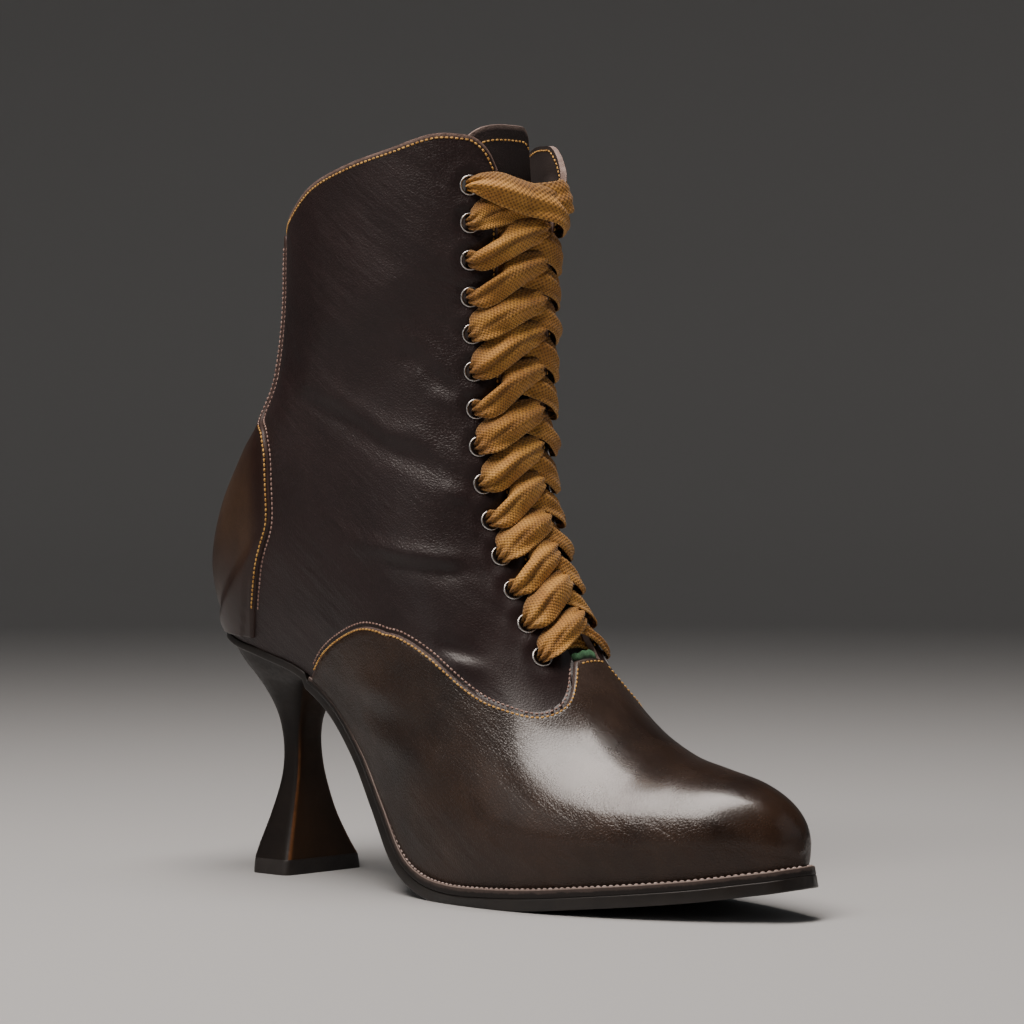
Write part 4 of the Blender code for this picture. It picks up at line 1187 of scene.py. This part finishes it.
# %% Heel
def make_heel_stain():
    """Dark stained wood with painted light on its breast, which is lighter and browner, and the stain worn
    off along the front edges.
    """
    material, tree, shader = start_material("stained heel", (0.01, 0.007, 0.006), 0.4)
    place = object_place(tree)
    clouds = remap(tree, noise(tree, place, 70.0, 5.0, 0.65), 0.3, 0.7)
    flank = mix_colour(tree, clouds, (0.007, 0.0055, 0.005), (0.014, 0.0095, 0.0075))
    # Painted light: the breast is lighter and browner than the flanks
    lit_breast = mix_colour(tree, clouds, (0.02, 0.0105, 0.0055), (0.036, 0.018, 0.0085))
    tone = mix_colour(tree, attribute(tree, "polish"), flank, lit_breast)
    fine = noise(tree, place, 500.0, 4.0, 0.65)
    feed(tree, shader, {"Base Color": rub_edge(tree, place, tone, (0.12, 0.046, 0.015))["Color"],
                        "Roughness": remap(tree, fine, 0.3, 0.7, 0.44, 0.58),
                        "Normal": bump(tree, fine, 0.00004), "Specular IOR Level": 0.22})
    return material


heel_stain = make_heel_stain()
HEEL_COLUMNS = ("height", "rear_x", "wide_x", "front_x", "half_width", "rear_power", "front_power", "slope")
HEEL = (
    (5.1, 27.3, 37.0, 45.7, 17.2, 7.0, 9.0, 0.0),
    (10.0, 27.2, 36.3, 44.2, 14.9, 6.0, 8.0, 0.0),
    (19.5, 28.6, 35.6, 41.8, 10.9, 5.0, 7.0, 0.0),
    (30.0, 30.2, 35.5, 40.3, 7.7, 4.0, 6.0, 0.0),
    (38.0, 30.4, 35.2, 39.6, 6.3, 3.5, 5.0, 0.0),
    (46.0, 29.2, 35.0, 39.4, 6.0, 3.2, 4.5, 0.0),
    (53.0, 26.8, 35.0, 40.6, 7.0, 2.8, 4.0, 0.05),
    (59.0, 23.2, 35.5, 44.0, 9.6, 2.5, 4.0, 0.2),
    (64.0, 18.8, 36.5, 49.0, 13.4, 2.4, 4.0, 0.45),
    (68.0, 13.6, 38.0, 55.0, 17.6, 2.3, 5.0, 0.75),
)
SEAT_RING = (8.6, 40.0, 60.0, 21.4, 2.2, 6.0, 1.0)
SEAT_SINK = 0.3 * MM
HEEL_MIDDLE = 40.0 * MM
LIFT = ((0.0, 28.3, 37.0, 45.7, 17.7, 8.0, 10.0, 0.0), (0.35, 28.0, 37.0, 46.0, 18.0, 8.0, 10.0, 0.0),
        (4.6, 27.5, 37.0, 45.8, 17.4, 7.0, 9.0, 0.0), (5.0, 27.8, 37.0, 45.5, 17.1, 7.0, 9.0, 0.0))
HEEL_SIDES = 96
HEEL_ROWS = 84
LIFT_ROWS = 12
# Where the front edges are rubbed, round the ring and up the heel, and where the breast begins
CORNER_PART = (0.9, 1.0)
RUB_ROWS = (0.3, 0.62)
BREAST_PART = (0.68, 0.74)
SHARP_ANGLE = math.radians(40)

rear = feather_stations >= THROAT_STATION
tread = np.stack(feather_point(feather_lengths[rear], sole_bottom(feather_stations[rear])), axis=1)
tread = tread[np.argsort(tread[:, 0])]


def seat_height(x):
    """Height of the outsole's underside over the heel, at an x of the last."""
    return np.interp(x - ORIGIN[0], tread[:, 0], tread[:, 1])


def ring_points(ring, way):
    """Points of heel rings at shares of their way round."""
    named = dict(zip(HEEL_COLUMNS, ring))
    cosine, sine = np.cos(2 * math.pi * way), np.sin(2 * math.pi * way)
    power = 2 / np.where(cosine >= 0, named["front_power"], named["rear_power"])
    reach = np.where(cosine >= 0, named["front_x"] - named["wide_x"], named["wide_x"] - named["rear_x"])
    x = (named["wide_x"] + np.sign(cosine) * np.abs(cosine) ** power * reach) * MM
    y = np.sign(sine) * np.abs(sine) ** power * named["half_width"] * MM
    z = named["height"] * MM + named["slope"] * (seat_height(x) - seat_height(HEEL_MIDDLE))
    return np.stack((x, y, z), axis=-1) - ORIGIN


def add_rings(name, rings, rows, slot, nodes, material):
    """Closed body through rings, with flat ends."""
    curve = Curve(numbered(rings))
    mesh = start_sheet()

    def place(u, v):
        way = np.round(u * HEEL_SIDES) % HEEL_SIDES / HEEL_SIDES
        front = np.cos(2 * math.pi * way)
        corner = smooth_step(np.abs(np.sin(4 * math.pi * way)), *CORNER_PART) * (front > 0)
        points = ring_points(curve(v * (len(rings) - 1)), way)
        points[:, 2] = np.maximum(points[:, 2], 0.0)
        # The polish layer marks the breast for its painted light
        return points, corner * (1 - smooth_step(v, *RUB_ROWS)), smooth_step(front, *BREAST_PART)

    add_sheet(mesh, HEEL_SIDES, rows, place)
    close_tube(mesh, WELD)
    piece = add_piece(name, mesh, slot, nodes, material)
    piece.data.set_sharp_from_angle(angle=SHARP_ANGLE)


seat = ((seat_height(HEEL_MIDDLE) + SEAT_SINK) / MM, *SEAT_RING)
add_rings("heel_block", (*HEEL, seat), HEEL_ROWS, "heel_wood", ["heel"], heel_stain)
add_rings("heel_top_lift", LIFT, LIFT_ROWS, "top_lift_rubber", ["top_lift"], lift_rubber)

# %% [markdown]
# ## Eyelets
# An eyelet is a short tube that is pushed through the leather and rolled over on the face. Its section is
# a small hook, so a profile is spun round the axis once, and copies of the ring go to their places.

# %% Eyelets
# Radius and height in millimetres, and how bright the metal is: the rolled rim has the nickel's own colour,
# and the bore and the flange's underside take painted shade
EYELET_PROFILE = ((2.3, -2.3, 0.0), (2.32, -0.5, 0.02), (2.45, 0.15, 0.02), (2.66, 0.5, 0.15),
                  (2.82, 0.7, 0.9), (3.02, 0.76, 1.0), (3.2, 0.66, 1.0), (3.32, 0.42, 0.7),
                  (3.36, 0.1, 0.3), (3.3, -0.25, 0.1), (2.7, -0.35, 0.1), (2.6, -2.3, 0.1))
EYELET_STEPS = 32
EYELET_WELD = 0.002 * MM


def make_nickel():
    """Nickel with a bright rolled rim, and painted shade in the bore and under the flange."""
    material, tree, shader = start_material("nickel", (0.5, 0.48, 0.46), 0.28, 1.0)
    # Painted shade, nearly black, where the edge layer is low
    tone = mix_colour(tree, attribute(tree, "edge"), (0.02, 0.018, 0.017), (0.6, 0.58, 0.56))
    rough = remap(tree, noise(tree, object_place(tree), 1200.0), 0.3, 0.7, 0.24, 0.36)
    feed(tree, shader, {"Base Color": tone, "Roughness": rough})
    return material


def spin_profile(mesh, corners, next_corners, steps, weld):
    """Joins corners to the next ones and spins the line round the upright axis."""
    edges = [mesh.edges.new(pair) for pair in zip(corners, next_corners)]
    bmesh.ops.spin(mesh, geom=corners + edges, cent=(0, 0, 0), axis=(0, 0, 1), angle=2 * math.pi,
                   steps=steps, use_merge=True)
    bmesh.ops.remove_doubles(mesh, verts=mesh.verts, dist=weld)
    bmesh.ops.recalc_face_normals(mesh, faces=mesh.faces)


def add_copies(mesh, shape, matrices):
    """Adds copies of a small shape to a bmesh, placed by matrices. An operator would visit the whole mesh."""
    data = bpy.data.meshes.new("shape")
    shape.to_mesh(data)
    for matrix in matrices:
        before = len(mesh.verts)
        mesh.from_mesh(data)
        mesh.verts.ensure_lookup_table()
        for corner in mesh.verts[before:]:
            corner.co = matrix @ corner.co
    bpy.data.meshes.remove(data)


nickel = make_nickel()
ring = start_sheet()
nickel_shade_layer = ring.verts.layers.float["edge"]
corners = []
for radius, height, bright in EYELET_PROFILE:
    corner = ring.verts.new((radius * MM, 0.0, height * MM))
    corner[nickel_shade_layer] = bright
    corners.append(corner)
spin_profile(ring, corners, corners[1:] + corners[:1], EYELET_STEPS, EYELET_WELD)

eyelet_matrices = []
for side in SIDES:
    places = skin(EYELET_STATIONS, EYELET_SHARES[side], side, 0.0)
    normals = outward(EYELET_STATIONS, EYELET_SHARES[side], side)
    for place, normal in zip(places, normals):
        turn = Vector(normal).to_track_quat("Z", "Y").to_matrix().to_4x4()
        eyelet_matrices.append(Matrix.Translation(Vector(place)) @ turn)
eyelet_mesh = start_sheet()
add_copies(eyelet_mesh, ring, eyelet_matrices)
ring.free()
eyelet_nodes = [f"eyelet_{word}_{number:02d}" for word in ("lateral", "medial")
                for number in range(1, EYELET_PAIRS + 1)]
add_piece("eyelets", eyelet_mesh, "eyelet_metal", eyelet_nodes, nickel)

# %% [markdown]
# ## Lace
# One flat woven ribbon laces the shoe. A strand comes out of an eyelet bunched, spreads to its full width,
# rises across the gap and dives under the other facing to the next eyelet up. The outer strand lies over
# the inner one at each crossing. A curve with a flat profile would twist at the eyelets, so each strand is
# a grid: a short table gives its place across, its rise, its height and its width along the way.

# %% Routes of the strands
# Each row starts with its place along the strand. Height and half width are in millimetres
STRAND_COLUMNS = ("across", "rise", "height", "half", "crown")
FROM_EYELET = ((0.0, -1.0, 0.0, -2.6, 1.6, 0.1), (0.05, -1.0, 0.0, -0.4, 2.0, 0.3),
               (0.085, -0.985, 0.0, 1.3, 3.0, 0.4))
TO_EYELET = (1.0, 1.0, 1.0, -2.6, 1.6, 0.1)
OVER = (*FROM_EYELET, (0.14, -0.9, 0.02, 1.8, 4.4, 0.7), (0.22, -0.76, 0.08, 1.9, 5.2, 1.0),
        (0.36, -0.53, 0.22, 1.9, 5.5, 1.25), (0.5, -0.27, 0.4, 2.0, 5.4, 1.25),
        (0.62, -0.02, 0.58, 2.0, 4.7, 1.1), (0.74, 0.22, 0.78, 1.2, 3.5, 0.8),
        (0.84, 0.4, 0.88, -1.2, 2.6, 0.3), (0.92, 0.62, 0.94, -2.5, 2.2, 0.1), TO_EYELET)
UNDER = (*FROM_EYELET, (0.14, -0.9, 0.02, 1.7, 4.3, 0.6), (0.22, -0.76, 0.08, 1.7, 5.0, 0.8),
         (0.36, -0.53, 0.2, 1.3, 5.3, 0.9), (0.5, -0.27, 0.34, 0.6, 5.5, 0.8),
         (0.62, 0.0, 0.5, -0.4, 5.4, 0.5), (0.74, 0.24, 0.64, -1.2, 5.0, 0.3),
         (0.84, 0.42, 0.75, -2.3, 4.4, 0.1), (0.92, 0.62, 0.86, -2.5, 3.6, 0.1), TO_EYELET)
TOP_START = ((0.0, -1.0, 0.0, -2.6, 1.6, 0.1), (0.05, -1.0, 0.0, -0.4, 1.9, 0.3),
             (0.09, -0.97, 0.0, 1.3, 2.6, 0.5))
TOP_END = ((0.93, 0.95, 1.0, 1.4, 2.6, 0.5), (0.96, 1.0, 1.0, -0.4, 1.9, 0.3),
           (1.0, 1.0, 1.0, -2.6, 1.5, 0.1))
TOP_OVER = (*TOP_START, (0.15, -0.88, 0.03, 1.9, 3.8, 0.7), (0.3, -0.62, 0.16, 2.4, 5.2, 0.8),
            (0.5, -0.2, 0.39, 2.7, 5.6, 0.8), (0.68, 0.24, 0.62, 2.7, 5.6, 0.8),
            (0.8, 0.58, 0.84, 2.2, 5.2, 0.8), (0.88, 0.82, 0.96, 1.8, 3.8, 0.7), *TOP_END)
TOP_UNDER = (*TOP_START, (0.15, -0.88, 0.03, 1.7, 3.8, 0.7), (0.3, -0.62, 0.16, 1.4, 5.1, 0.7),
             (0.5, -0.2, 0.39, 0.8, 5.5, 0.6), (0.68, 0.24, 0.62, 0.8, 5.5, 0.6),
             (0.8, 0.58, 0.84, 1.4, 5.2, 0.7), (0.88, 0.82, 0.96, 1.6, 3.8, 0.7), *TOP_END)
# The ribbon's hidden bar between the lowest eyelets, on the inner face
INNER_BAR = ((0.0, -1.0, 0.0, -2.6, 1.6, 0.1), (0.3, -0.5, 0.1, -2.75, 2.6, 0.0),
             (0.7, 0.5, 0.1, -2.75, 2.6, 0.0), (1.0, 1.0, 0.0, -2.6, 1.6, 0.1))
eyelet_share_curves = {side: Curve(np.stack((EYELET_STATIONS[::-1], EYELET_SHARES[side][::-1]), axis=1))
                       for side in SIDES}


def lace_place(across, station):
    """Shares and sides of places between the two rows of eyelets, which lie at -1 and 1."""
    lateral, medial = (eyelet_share_curves[side](station)[0] for side in SIDES)
    return 1 - np.abs(across) * (1 - np.where(across <= 0, lateral, medial)), side_of(across)


# %% Strands
STRAND_CELLS = (18, 60)
STRAND_STEP = 0.004
RIBBON_THICK = 0.45 * MM
THREAD_PITCH = 0.72 * MM
# The front line itself belongs to one side, so normals are read just beside it
FRONT_SHARE = 0.9999
# Half widths in millimetres at which a strand starts to lie open and at which it is fully open
OPEN_HALF = (1.5, 5.0)
# Heights in millimetres: tilt, arch, pleats, the long fold, ripples, and the way the strand bows aside
SHINGLE = 0.95
CROWN = 2.3
PLEAT = 0.75
PLEAT_LOSS = 0.7
PLEAT_WAVES = 2.6 * math.pi
FOLD = -1.15
FOLD_WIDTH = 0.18
FOLD_START, FOLD_SPAN = 0.08, 0.5
RIPPLE = 0.42
BOW = 0.6
# A border that is folded back: the line across where it turns, its rise, and where along the strand it lies
FOLD_LINE = 0.42
FOLD_RISE = 0.85
TURN_START = (0.08, 0.18)
TURN_END = (0.34, 0.56)
# Painted shade in the long fold, at the covered border and at the eyelet
FOLD_SHADE, FOLD_SHADE_WIDTH = 0.8, 0.16
BORDER_SHADE, BORDER_PART = 0.9, (0.3, 0.95)
EYELET_SHADE, EYELET_PART = 0.85, (0.07, 0.2)


def strand(route, start, low, high, sway, folded=0.0, slim=(1.0, 1.0), shade=0.0):
    """Function of a strand's grid, and the strand's length. start is the side of its eyelet, low and high the
    stations it joins. Where it is folded, its upper border lies back over it near the eyelet. slim draws it
    together and presses it down, shade darkens it."""
    curve = Curve(route)

    def centre(t):
        named = dict(zip(STRAND_COLUMNS, curve(t)))
        named["half"] = named["half"] * slim[0]
        named["height"] = np.where(named["height"] > 0, named["height"] * slim[1], named["height"])
        station = low + (high - low) * named["rise"]
        share, side = lace_place(named["across"] * -start, station)
        base = last_point(station, np.minimum(share, 1.0), side) + flare(station, share, side)
        normal = outward(station, np.minimum(share, FRONT_SHARE), side)
        return base, base + normal * named["height"][..., None] * MM, normal, named

    length = walked(centre(np.linspace(0.0, 1.0, STRAND_CELLS[1] + 1))[1])[-1]

    def place(u, t):
        base_after, after, _, _ = centre(np.minimum(t + STRAND_STEP, 1.0))
        base_before, before, _, _ = centre(np.maximum(t - STRAND_STEP, 0.0))
        _, middle, normal, named = centre(t)
        width = unit(np.cross(normal, unit(base_after - base_before))) * -start
        face = unit(np.cross(unit(after - before), width)) * -start
        w = 2 * u - 1
        spread = smooth_step(named["half"], *OPEN_HALF)
        arch = 0.35 * (1 - w ** 2) + 0.65 * (0.5 + 0.5 * np.cos(math.pi * w))
        tilt = SHINGLE * (1 + 0.35 * math.sin(2 * sway)) * spread * w
        pleat = PLEAT * (1 - PLEAT_LOSS * spread) * np.cos(PLEAT_WAVES * w + sway)
        fold_gap = w - (0.45 * math.sin(3 * sway) + 0.25 * np.sin(2.5 * t))
        fold_part = np.sin(math.pi * np.clip((t - FOLD_START) / FOLD_SPAN, 0.0, 1.0))
        fold = FOLD * spread * np.exp(-(fold_gap / FOLD_WIDTH) ** 2) * fold_part
        ripple = RIPPLE * np.sin(9.0 * t + 3.5 * w + 3 * sway) * spread
        turned = folded * smooth_step(t, *TURN_START) * (1 - smooth_step(t, *TURN_END))
        lift = CROWN * slim[1] * named["crown"] * arch - tilt + pleat + fold + ripple
        lift = lift + FOLD_RISE * turned * smooth_step(w, FOLD_LINE - 0.1, FOLD_LINE + 0.25)
        out = named["half"] * (w - 2 * turned * np.maximum(0.0, w - FOLD_LINE))
        out = out + BOW * spread * np.sin(math.pi * t + sway)
        points = middle + width * (out * MM)[:, None] + face * (lift * MM)[:, None]
        fold_shade_mask = FOLD_SHADE * np.exp(-(fold_gap / FOLD_SHADE_WIDTH) ** 2) * spread
        border_and_eyelet_shade = np.maximum(BORDER_SHADE * smooth_step(w, *BORDER_PART),
                            EYELET_SHADE * (1 - smooth_step(t, *EYELET_PART)))
        # Painted shade, kept in the polish layer: in the long fold, at the covered border, at the eyelet and
        # on the under strands
        dark = np.maximum(np.maximum(border_and_eyelet_shade * (1 - turned), fold_shade_mask), shade)
        # The edge layer gets the distance from the middle, which the ribbon turns into a painted highlight at
        # the borders
        return points, np.abs(w), dark, length / THREAD_PITCH

    return place, length


# %% [markdown]
# The ribbon's weave follows its length, so it reads the UV map of the strands: threads run along it and
# across it, and where one passes over the other the cloth is lighter, as on a basket. Each strand stores
# the count of its cross threads, so they keep their gauge on every strand.

# %% Ribbon weave
RIBS = 15.0
GAP_SHADE = 0.68
# How far the painted shade from the polish layer darkens the ribbon
PAINTED_SHADE_PART = 0.75


def make_ribbon():
    """Mustard ribbon, woven, with darker gaps between its threads, a painted highlight along its borders and
    painted shade where strands lie in shadow.
    """
    material, tree, shader = start_material("ribbon", (0.36, 0.2, 0.05), 0.72)
    flat = tree.nodes.new("ShaderNodeUVMap").outputs["UV"]
    split = add_node(tree, "ShaderNodeSeparateXYZ", {0: flat}).outputs
    counts = (math_node(tree, "MULTIPLY", split["X"], RIBS),
              math_node(tree, "MULTIPLY", split["Y"], attribute(tree, "worn")))
    rib, cross = (math_node(tree, "SINE", math_node(tree, "MULTIPLY", count, math.pi)) for count in counts)
    weave = remap(tree, math_node(tree, "MULTIPLY", rib, cross), -1.0, 1.0)
    clouds = remap(tree, noise(tree, object_place(tree), 90.0, 3.0, 0.6), 0.3, 0.7)
    gold = mix_colour(tree, clouds, (0.4, 0.172, 0.026), (0.62, 0.31, 0.056))
    # Painted highlight along both borders of each strand, where the edge layer is near 1
    border_highlight = remap(tree, attribute(tree, "edge"), 0.88, 0.94, 0.0, 0.7)
    gold = mix_colour(tree, border_highlight, gold, (0.58, 0.31, 0.075))
    # Painted shade: the ribbon darkens where the polish layer marks strands in shadow
    painted_shade = math_node(tree, "MULTIPLY", attribute(tree, "polish"), PAINTED_SHADE_PART)
    gold = mix_colour(tree, painted_shade, gold, (0.1, 0.038, 0.007))
    gap = math_node(tree, "MULTIPLY", remap(tree, weave, 0.1, 0.55, 1.0, 0.0), GAP_SHADE)
    feed(tree, shader, {"Base Color": mix_colour(tree, gap, gold, (0.05, 0.019, 0.004)),
                        "Normal": bump(tree, weave, 0.00022), "Sheen Weight": 0.15, "Sheen Roughness": 0.4})
    return material


# %% Lace
TOP_PAIR = 1
FOLDED = {2: 0.7, 3: 1.0, 6: 0.8, 9: 0.6, 11: 0.7}
SLIM = {(13, MEDIAL): (0.62, 0.6), (12, MEDIAL): (0.9, 0.7), (13, LATERAL): (0.85, 0.9)}
# Painted shade on the strands that lie under
UNDER_SHADE = 0.24
strands = []
for number in range(EYELET_PAIRS - 1, 0, -1):
    low, high = EYELET_STATIONS[number], EYELET_STATIONS[number - 1]
    for side in SIDES:
        if number == TOP_PAIR:
            route = TOP_OVER if side == MEDIAL else TOP_UNDER
        else:
            route = OVER if side == LATERAL else UNDER
        sway = 1.3 * math.sin(2.1 * number + 0.8 * side)
        folded = FOLDED.get(number, 0.0) if side == LATERAL else 0.0
        slim = SLIM.get((number, side), (1.0, 1.0))
        shade = UNDER_SHADE if route is UNDER else 0.0
        strands.append(strand(route, side, low, high, sway, folded, slim, shade))
strands.append(strand(INNER_BAR, LATERAL, EYELET_STATIONS[-1], EYELET_STATIONS[-2], 0.0))
lace_mesh = start_sheet()
for place, length in strands:
    add_sheet(lace_mesh, *STRAND_CELLS, place)
lace_nodes = [f"lace_crossing_{number:02d}" for number in range(1, EYELET_PAIRS)]
lace = add_piece("lace", lace_mesh, "lace_ribbon", lace_nodes, make_ribbon())
add_wall(lace, RIBBON_THICK, offset=0.0)
print("ribbon length in mm", round(sum(length for _, length in strands) / MM))

# %% [markdown]
# ## Stitches
# The seams are sewn in short golden and rose stitches, two rows along the vamp and the counter and one along
# the collar. There are more than a thousand, so one small stitch is made once and copied to every place of a
# row. A row is a pattern line moved sideways on the last, walked at an even pitch.

# %% Stitch rows
STITCH_PITCH = 1.6 * MM
STITCH_LENGTH = 1.2 * MM
STITCH_RADIUS = 0.34 * MM
STITCH_BLUNT = 0.6
STITCH_SINK = 0.35
STITCH_SEGMENTS = 6
FEWEST_STITCHES = 2
SEAM_END_SHARE = 0.999


def make_stitch():
    """One blunt stitch that lies along the first axis, two long and two thick."""
    mesh = bmesh.new()
    bmesh.ops.create_uvsphere(mesh, u_segments=STITCH_SEGMENTS, v_segments=STITCH_SEGMENTS, radius=1.0)
    for corner in mesh.verts:
        x, y, z = corner.co
        along = math.copysign(abs(z) ** STITCH_BLUNT, z)
        corner.co = (along, x, y - STITCH_SINK * along ** 2)
    return mesh


def beside(station, share, side, offset):
    """Moves a line on the last sideways by an offset in metres. Returns stations and shares."""
    one_station = by_station(station, share, side)
    one_share = last_point(station, share + SHARE_STEP, side) - last_point(station, share - SHARE_STEP, side)
    one_share = one_share / (2 * SHARE_STEP)
    along = unit(np.gradient(last_point(station, share, side), axis=0))
    across = np.cross(outward(station, share, side), along) * offset
    a = np.sum(one_station ** 2, axis=1)
    b = np.sum(one_station * one_share, axis=1)
    c = np.sum(one_share ** 2, axis=1)
    d = np.sum(one_station * across, axis=1)
    e = np.sum(one_share * across, axis=1)
    det = a * c - b * b
    return station + (d * c - b * e) / det, share + (a * e - b * d) / det


def sew(points, normals, pitch=STITCH_PITCH, length=STITCH_LENGTH, radius=STITCH_RADIUS):
    """Matrices that place stitches along a line of points."""
    walk = walked(points)
    count = max(FEWEST_STITCHES, int(walk[-1] / pitch))
    middles = (np.arange(count) + 0.5) * walk[-1] / count

    def pick(at, rows):
        return np.stack([np.interp(at, walk, column) for column in rows.T], axis=1)

    along = unit(pick(middles + length / 2, points) - pick(middles - length / 2, points))
    sideways = unit(np.cross(unit(pick(middles, normals)), along))
    up = np.cross(along, sideways)
    columns = (along * length / 2, sideways * radius, up * radius, pick(middles, points))
    matrices = np.tile(np.eye(4), (count, 1, 1))
    matrices[:, :3] = np.stack(columns, axis=2)
    return [Matrix(rows) for rows in matrices.tolist()]


def add_stitches(name, matrices, slot, material):
    """One piece of all the stitches that the matrices place."""
    mesh = bmesh.new()
    stitch = make_stitch()
    add_copies(mesh, stitch, matrices)
    stitch.free()
    add_piece(name, mesh, slot, [], material)


def seam_row(station, share, side, offset, height):
    """Stitches beside a pattern line, at a height over the last."""
    station, share = beside(station, share, side, offset)
    share = np.minimum(share, SEAM_END_SHARE)
    return sew(skin(station, share, side, height), outward(station, share, side))


def inner_row(station, share, side, offset):
    """Stitches beside a pattern line on the upper's inner face."""
    station, share = beside(station, share, side, offset)
    along = skin(station + STATION_STEP, share, side, 0.0) - skin(station - STATION_STEP, share, side, 0.0)
    across = skin(station, share + SHARE_STEP, side, 0.0) - skin(station, share - SHARE_STEP, side, 0.0)
    inward = -side * unit(np.cross(along, across))
    return sew(skin(station, share, side, 0.0) + WALL * inward, inward)


# %% Seam stitches
ROW_GAP = 1.0 * MM
COUNTER_ROW_GAP = 0.95 * MM
COUNTER_ROW = (0.1, 0.985)
COUNTER_KNEE = 0.69
COLLAR_ROW = 1.5 * MM
TONGUE_ROW = 0.976
TAB_ROW = THROAT_STATION - 0.14
TAB_REACH = 0.8
BAR_STATIONS = np.linspace(9.75, 8.85, 20)
BAR_BEHIND = 0.085
seam_ways = np.linspace(0.045, 0.985, 220)
counter_ways = np.linspace(*COUNTER_ROW, 180)
collar_shares = np.linspace(0.0, COLLAR_EDGE - 0.004, 180)
gold = []
rose = []
for side in SIDES:
    seam = (vamp_seam(seam_ways)[0], seam_ways * THROAT_EDGE, side)
    gold += seam_row(*seam, side * ROW_GAP, OVERLAY_HEIGHT)
    rose += seam_row(*seam, -side * ROW_GAP, 0.0)
    rose += seam_row(*counter_curve(counter_ways), side, side * COUNTER_ROW_GAP, 0.0)
    low_part, high_part = (np.linspace(*ends, 120) for ends in ((COUNTER_ROW[0], COUNTER_KNEE),
                                                                (COUNTER_KNEE, COUNTER_ROW[1])))
    gold += seam_row(*counter_curve(low_part), side, -side * COUNTER_ROW_GAP, OVERLAY_HEIGHT)
    rose += seam_row(*counter_curve(high_part), side, -side * COUNTER_ROW_GAP, OVERLAY_HEIGHT)
    corner = float(collar_height(collar_shares[-1], side))
    down = np.linspace(corner - 0.1, THROAT_STATION + 0.4, 160)
    border = (np.concatenate((collar_height(collar_shares, side), down)),
              np.concatenate((collar_shares, facing_edge(down))), side)
    gold += seam_row(*border, side * COLLAR_ROW, 0.0)
    gold += inner_row(*border, side * COLLAR_ROW)

tab_ways = np.linspace(-1.0, 1.0, 40)
tab_shares = 1 - np.abs(tab_ways) * (1 - THROAT_EDGE) * TAB_REACH
tab = (np.full(len(tab_ways), TAB_ROW), tab_shares, side_of(tab_ways))
gold += sew(skin(*tab, OVERLAY_HEIGHT), outward(*tab))
tongue_line = tongue_spot(np.linspace(0.02, 0.97, 80), np.full(80, TONGUE_ROW))
tongue_up = outward(*tongue_line)
gold += sew(last_point(*tongue_line) - TONGUE_DEPTH * tongue_up, tongue_up)
bar_shares = eyelet_share_curves[MEDIAL](BAR_STATIONS)[0] - BAR_BEHIND
gold += seam_row(BAR_STATIONS, bar_shares, MEDIAL, 0.0, 0.0)
add_stitches("gold_stitches", gold, "lace_ribbon", thread)
add_stitches("rose_stitches", rose, "lace_ribbon", rose_thread)

# %% Welt stitches
WELT_STITCH_PITCH = 2.0 * MM
WELT_STITCH_LENGTH = 1.45 * MM
WELT_STITCH_RADIUS = 0.38 * MM
WELT_ROW_INSET = 0.9 * MM
welt_stations = np.linspace(0.02, WELT_END - 0.3, 260)
welt_out = sole_value("welt_out", welt_stations) - WELT_ROW_INSET
welt_depth = np.full(len(welt_stations), WELT_TOP)
upright = np.tile((0.0, 0.0, 1.0), (len(welt_stations), 1))
welt_row = []
for side in SIDES:
    line = sole_edge(welt_stations, np.full(len(welt_stations), side), welt_out, welt_depth)
    welt_row += sew(line, upright, WELT_STITCH_PITCH, WELT_STITCH_LENGTH, WELT_STITCH_RADIUS)
add_stitches("welt_stitches", welt_row, "welt_leather", welt_thread)

# %% [markdown]
# ## Floor and light
# A pale floor runs back to a pale wall. A broad soft light hangs over the shoe and gives the long
# highlights on the vamp and the toe, and a second one from the left of the camera models the ribbon.

# %% Floor
SWEEP_PROFILE = ((0.0, 0.0), (2.4, 0.0), (2.75, 0.05), (3.05, 0.2), (3.25, 0.45), (3.35, 0.8), (3.4, 3.2))
SWEEP_STEPS = 96
sweep_mesh = bmesh.new()
corners = [sweep_mesh.verts.new((radius, 0.0, height)) for radius, height in SWEEP_PROFILE]
spin_profile(sweep_mesh, corners, corners[1:], SWEEP_STEPS, MM)
floor_material, _, _ = start_material("pale floor", (0.43, 0.435, 0.44), 0.8)
floor = add_object("floor", sweep_mesh, floor_material)
print("floor faces", len(floor.data.polygons))


# %% Lights
def add_area(name, place, aim, size, power, colour):
    """A soft box that faces a point."""
    data = bpy.data.lights.new(name, "AREA")
    data.shape = "RECTANGLE"
    data.size, data.size_y = size
    data.energy = power
    data.color = colour
    add_facing(name, data, place, aim)


SHOE_MIDDLE = (0.0, 0.0, 0.1)
add_area("top box", (0.05, -0.32, 1.1), (0.04, -0.12, 0.1), (0.5, 1.1), 22.0, (1.0, 0.91, 0.845))
add_area("left fill", (-0.7, -1.8, 0.75), SHOE_MIDDLE, (1.2, 0.9), 4.2, (1.0, 0.96, 0.93))
add_area("right fill", (1.3, 0.8, 0.8), SHOE_MIDDLE, (1.2, 1.2), 1.0, (0.97, 0.98, 1.0))
world = bpy.data.worlds.new("studio")
bpy.context.scene.world = world
world.use_nodes = True
feed(world.node_tree, world.node_tree.nodes["Background"], {"Color": (0.62, 0.61, 0.6), "Strength": 0.12})
print("lights", len(bpy.data.lights))
